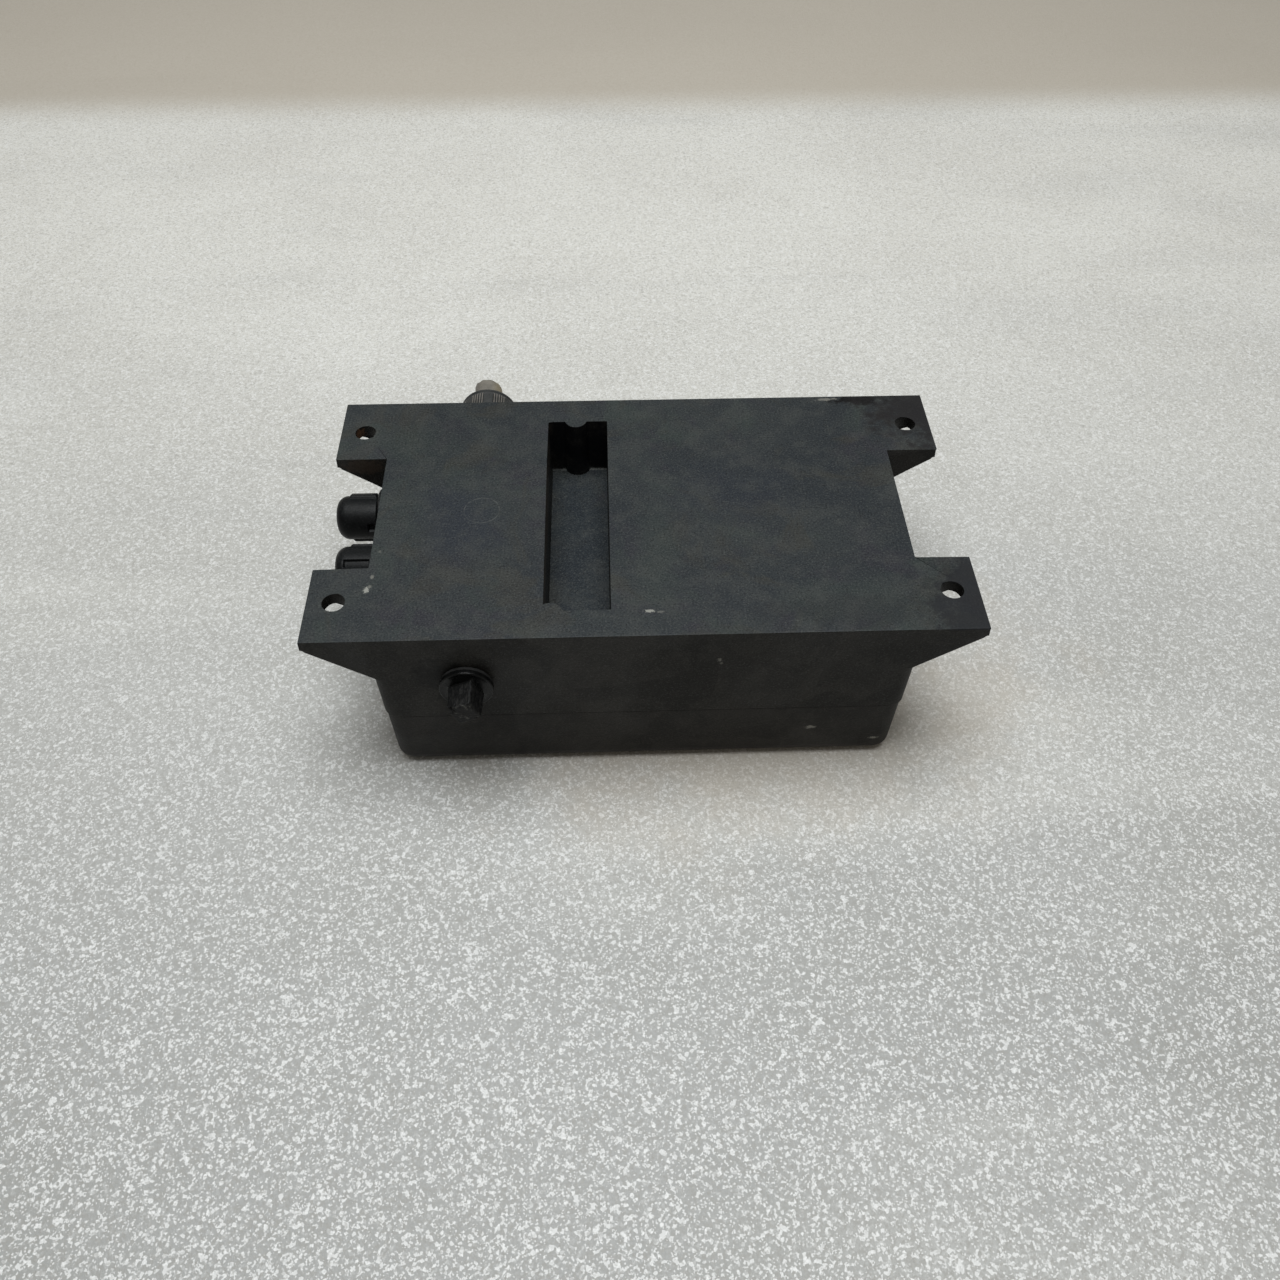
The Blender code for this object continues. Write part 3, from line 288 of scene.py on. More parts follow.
def cable_jacket(name):
    """Dusty grey PVC, yellowed on the side away from the sockets, with fine rings of drawing."""
    look = Look(name, IOR=1.48, Specular_IOR_Level=0.35)
    cloud = look.noise(260.0, 4.0, 0.6)
    rings = look.noise(900.0, 3.0, 0.55, (0.4, 0.4, 3.0))
    tone = look.mix(look.step(cloud, 0.35, 0.7), (0.150, 0.140, 0.122), (0.215, 0.200, 0.172))
    yellow = look.step(look.axis(0), 0.0004, 0.0044, 0.0, 0.8)
    tone = look.mix(yellow, tone, (0.235, 0.195, 0.120))
    tone = look.mix(look.step(rings, 0.55, 0.75, 0.0, 0.35), tone, (0.09, 0.085, 0.075))
    roughness = look.step(cloud, 0.3, 0.7, 0.5, 0.72)
    return look.finish(tone, roughness, look.bump(rings, 0.00012, 0.6))


def insulated_wire(name, colour):
    look = Look(name, IOR=1.48)
    cloud = look.noise(500.0, 3.0, 0.6)
    tone = look.mix(look.step(cloud, 0.3, 0.75), colour, shade(colour, 1.4, 0.01))
    roughness = look.step(cloud, 0.3, 0.7, 0.35, 0.5)
    return look.finish(tone, roughness, look.bump(cloud, 0.00005, 0.5))


def gland_nut_plastic(name):
    """The fitting plastic, with pale dust held on the crests between the fine grip ribs."""
    look = Look(name, IOR=1.5, Specular_IOR_Level=0.45)
    cloud = look.noise(240.0, 4.0, 0.6)
    fine = look.noise(2600.0, 3.0, 0.6)
    x, y, z = (look.axis(index) for index in range(3))
    radius = look.math("SQRT", look.math("ADD", look.times(x, x), look.times(y, y)))
    crest = look.step(radius, NUT_RADIUS - 0.00028, NUT_RADIUS - 0.00008)
    low_end = look.step(z, NUT_RIBS_LOW + 0.0004, NUT_RIBS_LOW + 0.0008)
    ribbed = look.times(low_end, look.step(z, NUT_RIBS_HIGH - 0.0004, NUT_RIBS_HIGH, 1.0, 0.0))
    angle = look.math("SUBTRACT", look.math("ARCTAN2", y, x), NUT_TURN)
    turn = look.math("ADD", look.math("DIVIDE", angle, TAU / NUT_GROUPS), 0.5)
    across = look.math("ABSOLUTE", look.math("SUBTRACT", look.math("FRACT", turn), 0.5))
    half = NUT_GROUP_SHARE / 2
    inside = look.step(across, half - 0.015, half + 0.015, 1.0, 0.0)
    tone = look.mix(look.step(cloud, 0.3, 0.7), (0.024, 0.026, 0.027), (0.036, 0.038, 0.038))
    dusty = look.times(crest, ribbed, inside, look.step(cloud, 0.25, 0.6, 0.45, 0.8))
    tone = look.mix(dusty, tone, (0.20, 0.185, 0.165))
    film = look.times(look.step(fine, 0.45, 0.75), look.facing_up(), 0.3)
    tone = look.mix(film, tone, (0.085, 0.088, 0.086))
    return look.finish(tone, look.step(cloud, 0.3, 0.7, 0.4, 0.58), look.bump(fine, 0.00006, 0.6))


def plug_plastic(name):
    """The blanking plug's plastic: polished on the flange's rim, torn and dulled on the square head."""
    look = Look(name, IOR=1.5, Specular_IOR_Level=0.2)
    cloud = look.noise(420.0, 5.0, 0.65)
    scratch = look.noise(1400.0, 4.0, 0.7, (1.0, 1.0, 0.35))
    head = look.step(look.axis(2), 0.0034, 0.0040)
    tone = look.mix(look.step(cloud, 0.35, 0.7), (0.0018, 0.0020, 0.0022), (0.0048, 0.0050, 0.0050))
    torn = look.times(head, look.step(scratch, 0.45, 0.7), 0.5)
    tone = look.mix(torn, tone, (0.034, 0.033, 0.031))
    chips = look.times(look.step(look.axis(2), 0.0103, 0.0115), look.step(cloud, 0.56, 0.66), 0.55)
    tone = look.mix(chips, tone, (0.12, 0.12, 0.11))
    smooth = look.step(cloud, 0.3, 0.7, 0.24, 0.36)
    dull = look.step(scratch, 0.3, 0.7, 0.45, 0.66)
    rough = look.add("ShaderNodeMix", {0: head, 2: smooth, 3: dull}, data_type="FLOAT").outputs[0]
    height = look.math("MULTIPLY", scratch, look.step(head, 0.0, 1.0, 0.25, 1.0))
    return look.finish(tone, rough, look.bump(height, 0.00022, 0.8))


# ---------------------------------------------------------------- turned pieces with relief


def lerp(a, b, t):
    return a + (b - a) * t


def smooth(value, low, high):
    t = min(1.0, max(0.0, (value - low) / (high - low)))
    return t * t * (3 - 2 * t)


def near_angle(angle, centre):
    """The signed difference between two angles."""
    return (angle - centre + math.pi) % TAU - math.pi


def rows_between(start, end, count):
    """Rows of (radius, height) from start to just before end."""
    return [(lerp(start[0], end[0], i / count), lerp(start[1], end[1], i / count)) for i in range(count)]


def arc_rows(centre, radius, start, end, count):
    """Rows of (radius, height) round a corner, angles measured from straight outward."""
    angles = [lerp(start, end, i / count) for i in range(count + 1)]
    return [(centre[0] + radius * math.cos(a), centre[1] + radius * math.sin(a)) for a in angles]


def turned_piece(name, rows, sides, shape, look, place, turn, closed=False):
    """A turned skin whose every point shape(radius, height, angle) may move. Rows run from the outer end
    down the outside and back up the inside. Both ends close on the axis, or on each other when closed."""
    skin = bmesh.new()
    rings = []
    for radius, height in rows:
        ring = []
        for step in range(sides):
            angle = TAU * step / sides
            r, z = shape(radius, height, angle)
            ring.append(skin.verts.new((r * math.cos(angle), r * math.sin(angle), z)))
        rings.append(ring)
    pairs = list(zip(rings, rings[1:]))
    if closed:
        pairs.append((rings[-1], rings[0]))
    for upper, lower in pairs:
        for step in range(sides):
            after = (step + 1) % sides
            skin.faces.new((upper[step], lower[step], lower[after], upper[after]))
    if not closed:
        for ring in (rings[0], rings[-1]):
            centre = skin.verts.new(sum((vert.co for vert in ring), Vector()) / sides)
            for step in range(sides):
                skin.faces.new((centre, ring[step], ring[(step + 1) % sides]))
    bmesh.ops.recalc_face_normals(skin, faces=skin.faces)
    return piece_from(name, skin, look, place, turn)


def piece_from(name, shape, look, place=(0, 0, 0), turn=(0, 0, 0), sharp=40.0):
    mesh = bpy.data.meshes.new(name)
    shape.to_mesh(mesh)
    shape.free()
    mesh.materials.append(look)
    mesh.shade_smooth()
    mesh.set_sharp_from_angle(angle=math.radians(sharp))
    made = bpy.data.objects.new(name, mesh)
    made.location = place
    made.rotation_euler = turn
    bpy.context.scene.collection.objects.link(made)
    return made


def settle(piece, body, slot, *nodes):
    """Puts a piece on its body and lets it stand for its CAD nodes, which it hides. The slot is not used.
    """
    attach(piece, body)
    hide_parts(*nodes)
    return piece


# ---------------------------------------------------------------- caps

CAP_RADIUS = 0.0071
CAP_LENGTH = 0.0135
CAP_RIB_HEIGHT = 0.0008
CAP_RIB_HALF = 0.0016
CAP_RIB_LENGTH = 0.0096
CAP_BORE = 0.0056
CAP_END_WALL = 0.002
CAP_FILLET = 0.0036
CAP_RIB_ANGLE = {1: math.radians(28), 2: math.radians(60)}
CAP_GROOVE_ANGLE = {1: math.radians(-76), 2: math.radians(-30)}
CAP_GROOVE_SPAN = {1: (0.0009, 0.0028), 2: (0.0024, 0.0101)}
CAP_GROOVE_HALF = 0.0013
CAP_GROOVE_DEPTH = 0.0009
CAP_RELIEF_EDGE = 0.00028


def cap_shape(number):
    """Moves a cap's outer skin out at its two ribs and in at its two finger grooves."""
    low, high = CAP_GROOVE_SPAN[number]
    soft = CAP_RELIEF_EDGE
    half_soft = 0.5 * soft

    def shape(radius, height, angle):
        if radius < CAP_BORE + 0.0002:
            return radius, height
        for side in (0.0, math.pi):
            across = abs(near_angle(angle, CAP_RIB_ANGLE[number] + side)) * CAP_RADIUS
            rib = 1.0 - smooth(across, CAP_RIB_HALF - soft, CAP_RIB_HALF + soft)
            rib *= smooth(height, -0.0001, 0.0007)
            rib *= 1 - smooth(height, CAP_RIB_LENGTH - 0.001, CAP_RIB_LENGTH)
            across = abs(near_angle(angle, CAP_GROOVE_ANGLE[number] + side)) * CAP_RADIUS
            groove = 1.0 - smooth(across, CAP_GROOVE_HALF - soft, CAP_GROOVE_HALF + half_soft)
            groove *= smooth(height, low - soft, low + half_soft)
            groove *= 1 - smooth(height, high - half_soft, high + soft)
            radius += CAP_RIB_HEIGHT * rib - CAP_GROOVE_DEPTH * groove
        return radius, height

    return shape


def build_cap(number, look):
    low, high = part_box(f"cap_{number}")
    middle = (low + high) / 2
    place = (high.x, middle.y, middle.z)
    corner = (CAP_RADIUS - CAP_FILLET, CAP_LENGTH - CAP_FILLET)
    dimple = CAP_LENGTH - 0.00035
    inner_end = CAP_LENGTH - CAP_END_WALL
    rows = [(0.0004, dimple), (0.0024, dimple), (0.0028, CAP_LENGTH - 0.00012), (0.0030, CAP_LENGTH)]
    rows += arc_rows(corner, CAP_FILLET, math.pi / 2, 0.0, 16)
    rows += rows_between((CAP_RADIUS, corner[1] - 0.00013), (CAP_RADIUS, 0.0004), 62)
    rows += [(CAP_RADIUS, 0.0004), (CAP_RADIUS - 0.0001, 0.00014), (CAP_RADIUS - 0.0004, 0.0)]
    rows += [(CAP_BORE + 0.0003, 0.0), (CAP_BORE, 0.0003), (CAP_BORE, inner_end), (0.0004, inner_end)]
    cap = turned_piece(f"socket_cap_{number}", rows, 200, cap_shape(number), look, place, LEFT)
    return settle(cap, f"cap_{number}", "fitting", f"cap_{number}")


# ---------------------------------------------------------------- gland nut

NUT_RADIUS = 0.0102
NUT_LOW = 0.0072
NUT_HIGH = 0.0192
NUT_GROUPS = 8
NUT_TURN = math.radians(26.9)
NUT_RIBS = 5
NUT_GROUP_SHARE = 0.58
NUT_CUT = 0.00045
NUT_BORE = 0.0085
NUT_MOUTH = 0.0056
NUT_SHOULDER = 0.0172
NUT_RIBS_LOW = 0.0080
NUT_RIBS_HIGH = 0.0172
NUT_EDGE = 0.0006
NUT_LINE = 0.0178
NUT_LINE_DEPTH = 0.00022


def nut_shape(radius, height, angle):
    """Cuts the fine grip ribs, in groups with plain stretches between them."""
    if radius < NUT_RADIUS - 0.0001:
        return radius, height
    span = TAU / NUT_GROUPS
    across = near_angle(angle, NUT_TURN) / span
    across -= round(across)
    half = NUT_GROUP_SHARE / 2
    inside = 1.0 - smooth(abs(across), half - 0.012, half + 0.006)
    along = smooth(height, NUT_RIBS_LOW, NUT_RIBS_LOW + 0.0005)
    along *= 1 - smooth(height, NUT_RIBS_HIGH - 0.0004, NUT_RIBS_HIGH)
    wave = 0.5 - 0.5 * math.cos(TAU * NUT_RIBS * (across + half) / NUT_GROUP_SHARE)
    crest = smooth(wave, 0.30, 0.72)
    return radius - NUT_CUT * (1 - crest) * inside * along, height


def build_gland_nut(look):
    low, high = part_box("gland_nut")
    middle = (low + high) / 2
    place = (middle.x, BACK_FACE, middle.z)
    corner = (NUT_RADIUS - NUT_EDGE, NUT_HIGH - NUT_EDGE)
    line = NUT_RADIUS - NUT_LINE_DEPTH
    rows = [(NUT_MOUTH + 0.0004, NUT_HIGH), (corner[0] - 0.0002, NUT_HIGH)]
    rows += arc_rows(corner, NUT_EDGE, math.pi / 2, 0.0, 5)
    rows += [(NUT_RADIUS, NUT_LINE + 0.0003), (line, NUT_LINE + 0.00015), (line, NUT_LINE)]
    stops = (NUT_LINE - 0.0002, NUT_RIBS_HIGH - 0.0007, NUT_RIBS_LOW + 0.0008, NUT_LOW + 0.0004)
    for upper, lower, count in zip(stops, stops[1:], (8, 5, 7)):
        rows += rows_between((NUT_RADIUS, upper), (NUT_RADIUS, lower), count)
    rows += [(NUT_RADIUS, NUT_LOW + 0.0004), (NUT_RADIUS - 0.0004, NUT_LOW), (NUT_BORE, NUT_LOW)]
    rows += [(NUT_BORE, NUT_SHOULDER), (NUT_MOUTH, NUT_SHOULDER), (NUT_MOUTH, NUT_HIGH - 0.0004)]
    nut = turned_piece("gland_cap_nut", rows, 640, nut_shape, look, place, BACK, closed=True)
    return settle(nut, "gland_nut", "fitting", "gland_nut")


# ---------------------------------------------------------------- blanking plug

PLUG_FLANGE = 0.008
PLUG_FACE = 0.0031
PLUG_UNDER = 0.0015
PLUG_NECK = 0.0059
PLUG_INSIDE = -0.010
PLUG_HALF = 0.00395
PLUG_END = 0.0116
PLUG_TURN = math.radians(23)
PLUG_CORNER = 0.00055
PLUG_RIM_EDGE = 0.00045
PLUG_NICKS = ((math.pi * 0.75, 0.0013), (math.pi * 0.25, 0.0004), (-math.pi * 0.25, 0.0006))


def square_radius(angle, half, corner):
    """How far a square with rounded corners reaches from its middle at an angle."""
    a = abs((angle + math.pi / 4) % (math.pi / 2) - math.pi / 4)
    flat = half / math.cos(a)
    inner = half - corner
    reach = inner * math.sqrt(2)
    away = a - math.pi / 4
    root = corner**2 - (reach * math.sin(away)) ** 2
    if root <= 0 or flat * math.sin(a) < inner:
        return flat
    return reach * math.cos(away) + math.sqrt(root)


def plug_shape(radius, height, angle):
    """Shapes the square head above the flange, with worn edges and a broken corner."""
    if height <= PLUG_FACE + 0.00005 or radius > PLUG_NECK:
        return radius, height
    local = angle - PLUG_TURN
    up = (height - PLUG_FACE) / (PLUG_END - PLUG_FACE)
    share = radius / PLUG_HALF
    grit = noise.noise(Vector((math.cos(angle) * 3.2, math.sin(angle) * 3.2, height * 900)))
    grit += 0.6 * noise.noise(Vector((math.cos(angle) * 9, math.sin(angle) * 9, height * 2400)))
    reach = square_radius(local, PLUG_HALF - 0.0002 * up, PLUG_CORNER) * share
    at_edge = smooth(share, 0.8, 1.0)
    worn = smooth(up, 0.55, 1.0) * at_edge
    reach -= 0.00016 * (0.5 + grit) * (0.35 + worn)
    sag = 0.0
    for where, depth in PLUG_NICKS:
        broken = (1 - smooth(abs(near_angle(local, where)), 0.12, 0.34)) * smooth(share, 0.55, 1.0)
        sag += depth * broken * smooth(up, 0.86, 1.0) * (0.8 + 0.5 * grit)
        reach -= 0.45 * depth * broken * smooth(up, 0.84, 1.0)
    rough_face = 0.00005 * grit * smooth(up, 0.97, 1.0)
    return max(reach, 0.0001), min(height - sag + rough_face, PLUG_END)


def build_plug(look):
    low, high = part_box("blanking_plug")
    place = ((low.x + high.x) / 2, FRONT_FACE, (low.z + high.z) / 2)
    corner = (PLUG_FLANGE - PLUG_RIM_EDGE, PLUG_FACE - PLUG_RIM_EDGE)
    rows = rows_between((0.0004, PLUG_END), (PLUG_HALF - 0.00035, PLUG_END), 12)
    rows += [(PLUG_HALF - 0.00035, PLUG_END), (PLUG_HALF - 0.0001, PLUG_END - 0.0001)]
    rows += rows_between((PLUG_HALF, PLUG_END - 0.00035), (PLUG_HALF, PLUG_FACE + 0.0004), 34)
    rows += [(PLUG_HALF, PLUG_FACE + 0.0004), (PLUG_HALF + 0.0001, PLUG_FACE + 0.00018)]
    rows += [(0.0058, PLUG_FACE), (0.0066, PLUG_FACE - 0.0001)]
    rows += [(corner[0] - 0.0003, PLUG_FACE - 0.0001)]
    rows += arc_rows(corner, PLUG_RIM_EDGE, math.pi / 2, 0.0, 6)
    rows += [(PLUG_FLANGE, PLUG_UNDER + 0.0002), (PLUG_FLANGE - 0.0002, PLUG_UNDER)]
    rows += [(PLUG_NECK, PLUG_UNDER), (PLUG_NECK, PLUG_INSIDE + 0.0008)]
    rows += [(PLUG_NECK - 0.0008, PLUG_INSIDE), (0.0005, PLUG_INSIDE)]
    plug = turned_piece("square_head_plug", rows, 176, plug_shape, look, place, FRONT)
    return settle(plug, "blanking_plug", "fitting", "blanking_plug")


# ---------------------------------------------------------------- cable

CABLE_RADIUS = 0.00495
CABLE_END = 0.0324
CABLE_START = -0.014
CABLE_BEND_START = 0.0192
CABLE_BEND = 0.0011
CABLE_HEIGHT = 0.0435
JACKET_WALL = 0.0011
JACKET_EDGE = 0.0005
CORE_RING = 0.0019
CORE_RADIUS = 0.00125


def cable_shape(radius, height, angle):
    """A slightly wavy jacket, hacked off unevenly at its outer end."""
    wave = noise.noise(Vector((math.cos(angle), math.sin(angle), height * 60)))
    notch = noise.noise(Vector((math.cos(angle) * 2.3, math.sin(angle) * 2.3, 4.0)))
    if radius > CABLE_RADIUS - 0.001 and height > 0.019:
        radius = min(radius + 0.00010 * wave, CABLE_RADIUS)
    past = smooth(height, 0.0296, CABLE_END)
    tilt = 0.00035 * (1 - math.cos(angle - 2.4))
    return radius, height - past * (tilt + 0.0006 * max(0.0, 0.35 + notch))


def bend_aside(piece):
    """Leans the free end of the cable a little towards the sockets."""
    for vert in piece.data.vertices:
        past = max(0.0, vert.co.z - CABLE_BEND_START) / (CABLE_END - CABLE_BEND_START)
        vert.co.x -= CABLE_BEND * past * past


def build_cable(look, core_look, copper_look):
    low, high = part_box("gland_nut")
    place = ((low.x + high.x) / 2, BACK_FACE, CABLE_HEIGHT)
    inner = CABLE_RADIUS - JACKET_WALL
    corner = (CABLE_RADIUS - JACKET_EDGE, CABLE_END - JACKET_EDGE)
    rows = [(0.0004, CABLE_END - 0.0022), (inner - 0.0004, CABLE_END - 0.0021), (inner, CABLE_END - 0.0018)]
    rows += rows_between((inner, CABLE_END - 0.0015), (inner, CABLE_END - 0.0002), 5)
    rows += [(inner + 0.0001, CABLE_END - 0.0001), (corner[0], CABLE_END)]
    rows += arc_rows(corner, JACKET_EDGE, math.pi / 2, 0.0, 5)
    rows += rows_between((CABLE_RADIUS, CABLE_END - 0.0008), (CABLE_RADIUS, CABLE_BEND_START), 30)
    rows += [(CABLE_RADIUS, CABLE_BEND_START), (CABLE_RADIUS, CABLE_START), (0.0005, CABLE_START)]
    cable = turned_piece("cable_end", rows, 120, cable_shape, look, place, BACK)
    bend_aside(cable)
    settle(cable, "unit", "cable", "cable_stub")

    cores = bmesh.new()
    strands = bmesh.new()
    for step in range(4):
        angle = math.pi / 4 + step * math.pi / 2
        centre = Vector((CORE_RING * math.cos(angle), CORE_RING * math.sin(angle), 0.0))
        top = CABLE_END - 0.0011 - 0.0002 * (step % 3)
        tube_ring(cores, centre, 0.0007, CORE_RADIUS, top - 0.0016, top, 28)
        for ring, count in ((0.0, 1), (0.00024, 6), (0.00047, 11)):
            for index in range(count):
                a = TAU * index / count + step
                middle = centre + Vector((ring * math.cos(a), ring * math.sin(a), 0.0))
                lift = 0.0002 * noise.noise(middle * 5000)
                rod(strands, middle, 0.000112, top - 0.0018, top + 0.0001 + lift, 8)
    core_piece = piece_from("cable_core_ends", cores, core_look, place, BACK)
    bend_aside(core_piece)
    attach(core_piece, "unit")
    strand_piece = piece_from("cable_strand_ends", strands, copper_look, place, BACK)
    bend_aside(strand_piece)
    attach(strand_piece, "unit")


def ring_of_points(shape, centre, radius, height, sides):
    angles = [TAU * step / sides for step in range(sides)]
    spokes = [Vector((radius * math.cos(angle), radius * math.sin(angle), height)) for angle in angles]
    return [shape.verts.new(centre + spoke) for spoke in spokes]


def join_rings(shape, lower, upper):
    for step in range(len(lower)):
        after = (step + 1) % len(lower)
        shape.faces.new((lower[step], lower[after], upper[after], upper[step]))


def rod(shape, centre, radius, low, high, sides):
    """A closed round rod along local Z with a slightly domed top."""
    section = ((radius, low), (radius, high - 0.4 * radius), (0.7 * radius, high))
    rings = [ring_of_points(shape, centre, *row, sides) for row in section]
    for lower, upper in zip(rings, rings[1:]):
        join_rings(shape, lower, upper)
    shape.faces.new(rings[-1])
    shape.faces.new(reversed(rings[0]))


def tube_ring(shape, centre, inner, outer, low, high, sides):
    """A short insulating tube along local Z with rounded upper edges."""
    edge = 0.00012
    section = [(outer, low), (outer, high - edge), (outer - edge, high), (inner + edge, high)]
    section += [(inner, high - edge), (inner, low)]
    rings = [ring_of_points(shape, centre, *row, sides) for row in section]
    for lower, upper in zip(rings, rings[1:] + rings[:1]):
        join_rings(shape, lower, upper)


# ---------------------------------------------------------------- looks of the carried-over nodes

SCUFF = (0.24, 0.235, 0.21)
PALE_SCUFF = (0.34, 0.34, 0.31)
RUST = (0.150, 0.080, 0.045)
BROWN = (0.060, 0.042, 0.030)
BLUISH = (0.0180, 0.0230, 0.0330)
PURPLISH = (0.0240, 0.0235, 0.0320)
GREENISH = (0.0310, 0.0415, 0.0385)
BROWNISH = (0.0350, 0.0345, 0.0290)
# Painted shade for the pocket's far wall
SHADOWED = (0.0015, 0.0018, 0.0030)
NEAR_BLACK = (0.0020, 0.0020, 0.0028)
# Painted shadow of the blanking plug
PAINTED_PLUG_SHADOW = (0.0030, 0.0030, 0.0030)
# Painted shade, darker and bluer, for the pocket's floor
PAINTED_POCKET_SHADE = (0.0125, 0.0185, 0.0245)
# Painted light on a strip of the pocket's left wall
PAINTED_POCKET_WALL_LIGHT = (0.048, 0.040, 0.033)
# A painted highlight along the fillet at the foot of the pocket's far wall
PAINTED_FILLET_HIGHLIGHT = (0.120, 0.125, 0.120)
POCKET_FLOOR = PLATE_TOP - 0.0208
MARK_DEPTH = 0.001


def plate_mark(x, y, reach_x, reach_y, strength, colour):
    """A mark on the mounting face, in millimetres."""
    reach = (reach_x / 1000, reach_y / 1000, MARK_DEPTH)
    return ((x / 1000, y / 1000, PLATE_TOP), reach, strength, colour, False)


def front_mark(x, y, z, reach_x, reach_z, strength, colour):
    """A mark on a front wall, in millimetres."""
    centre = (x / 1000, y / 1000, z / 1000)
    return (centre, (reach_x / 1000, MARK_DEPTH, reach_z / 1000), strength, colour, False)


HOUSING_MARKS = [
    plate_mark(-80.0, -27.8, 0.8, 1.0, 0.55, SCUFF),
    plate_mark(-81.1, -32.9, 1.1, 1.5, 0.80, PALE_SCUFF),
    plate_mark(-80.2, -31.6, 0.7, 0.8, 0.50, SCUFF),
    plate_mark(-79.0, -17.5, 0.7, 0.7, 0.25, SCUFF),
    plate_mark(1.2, -43.3, 2.0, 0.7, 0.75, PALE_SCUFF),
    plate_mark(4.3, -43.7, 1.4, 0.5, 0.35, SCUFF),
    # A near-black patch along the plate's far edge, right of the middle
    plate_mark(76.0, 50.2, 11.0, 3.4, 1.00, NEAR_BLACK),
    plate_mark(65.0, 50.9, 4.0, 0.9, 0.60, SCUFF),
    plate_mark(97.0, -42.0, 19.0, 24.0, 0.80, (0.0110, 0.0120, 0.0150)),
    plate_mark(98.0, 45.0, 24.0, 24.0, 0.85, (0.0120, 0.0110, 0.0120)),
    plate_mark(62.0, -45.0, 30.0, 9.0, 0.30, (0.0100, 0.0110, 0.0130)),
    # A painted shadow of the blanking plug on the front wall beside it
    front_mark(-61.0, -52.5, 47.5, 11.0, 7.0, 0.75, PAINTED_PLUG_SHADOW),
    front_mark(21.3, -52.5, 51.3, 0.8, 1.0, 0.55, SCUFF),
    front_mark(21.9, -52.5, 49.8, 0.6, 0.7, 0.35, SCUFF),
    # The pocket: painted shade on its far wall, painted light on a strip along its left wall, and a painted
    # highlight along the far wall's foot
    ((-0.0200, 0.0420, 0.0525), (0.0180, 0.0080, 0.0240), 1.00, SHADOWED, True),
    ((-0.0296, -0.0010, 0.0585), (0.0020, 0.0520, 0.0065), 0.60, PAINTED_POCKET_WALL_LIGHT, True),
    ((-0.0200, 0.0408, 0.0424), (0.0170, 0.0010, 0.0010), 0.80, PAINTED_FILLET_HIGHLIGHT, False),
    # The far left ear: inside its hole, and the gap's wall beside it
    ((-0.0930, 0.0392, 0.0605), (0.0030, 0.0035, 0.0025), 0.80, RUST, True),
    ((-0.0895, 0.0240, 0.0600), (0.0090, 0.0030, 0.0040), 0.55, BROWN, True),
]
HOUSING_CLOUDS = [
    # Painted shade over the pocket's floor
    ((-0.020, 0.0, POCKET_FLOOR), (0.016, 0.070, 0.008), 0.75, PAINTED_POCKET_SHADE),
    ((-0.056, -0.006, PLATE_TOP), (0.020, 0.026, 0.01), 0.8, BLUISH),
    ((0.030, 0.006, PLATE_TOP), (0.030, 0.022, 0.01), 0.5, BLUISH),
    ((0.004, -0.020, PLATE_TOP), (0.010, 0.030, 0.01), 0.6, GREENISH),
    ((0.060, -0.040, PLATE_TOP), (0.030, 0.012, 0.01), 0.6, GREENISH),
    ((-0.075, 0.030, PLATE_TOP), (0.020, 0.016, 0.01), 0.6, GREENISH),
]
COVER_MARKS = [
    front_mark(52.2, -52.1, 15.4, 2.2, 1.0, 0.80, SCUFF),
    front_mark(73.4, -51.9, 8.4, 1.8, 0.7, 0.80, SCUFF),
]

# Lighter, cooler top tones and darker, warmer wall tones: painted cool light from above and painted warm
# floor light on the walls
SHELL = moulded_plastic(
    "moulded_shell",
    top=((0.0185, 0.0235, 0.0285), (0.0255, 0.0310, 0.0335)),
    wall=((0.0115, 0.0108, 0.0097), (0.0215, 0.0202, 0.0180)),
    dust=(0.052, 0.056, 0.053),
    tints=((31.0, 0.7, PURPLISH), (23.0, 0.7, GREENISH), (38.0, 0.6, BROWNISH)),
    clouds=HOUSING_CLOUDS,
    marks=HOUSING_MARKS,
    ring=((-0.0494, -0.0005, PLATE_TOP), 0.0055),
)
# Lighter top tones than wall tones: painted light from above and painted shade on the walls
COVER = moulded_plastic(
    "cover_plastic",
    top=((0.0205, 0.0205, 0.0195), (0.0250, 0.0250, 0.0235)),
    wall=((0.0105, 0.0098, 0.0088), (0.0185, 0.0173, 0.0154)),
    dust=(0.040, 0.037, 0.032),
    rough=(0.44, 0.58),
    marks=COVER_MARKS,
)
# Lighter, cooler top tones than wall tones: painted light from above and painted shade on the walls
FITTING = moulded_plastic(
    "fitting_plastic",
    top=((0.0062, 0.0072, 0.0082), (0.0110, 0.0120, 0.0126)),
    wall=((0.0036, 0.0040, 0.0046), (0.0064, 0.0069, 0.0074)),
    dust=(0.018, 0.019, 0.019),
    rough=(0.38, 0.50),
    shine=0.12,
    grain=0.5,
)
RUBBER = soft_rubber("seal_rubber", (0.014, 0.014, 0.014))
STEEL = worked_metal("zinc_plated_steel", (0.56, 0.56, 0.54), (0.36, 0.35, 0.32))
GILT = worked_metal("gilt_contact", (0.72, 0.55, 0.25), (0.50, 0.36, 0.16), rough=(0.18, 0.34))
ALUMINIUM = worked_metal(
    "aluminium",
    (0.60, 0.61, 0.62),
    (0.44, 0.45, 0.46),
    rough=(0.28, 0.5),
    stretch=(8.0, 1.0, 1.0),
)
COPPER = worked_metal(
    "winding_copper",
    (0.72, 0.36, 0.20),
    (0.45, 0.20, 0.10),
    rough=(0.2, 0.38),
    stretch=(1.0, 1.0, 3.0),
)
CABLE = cable_jacket("cable_jacket")
CORE_ENDS = insulated_wire("core_insulation", (0.30, 0.29, 0.26))

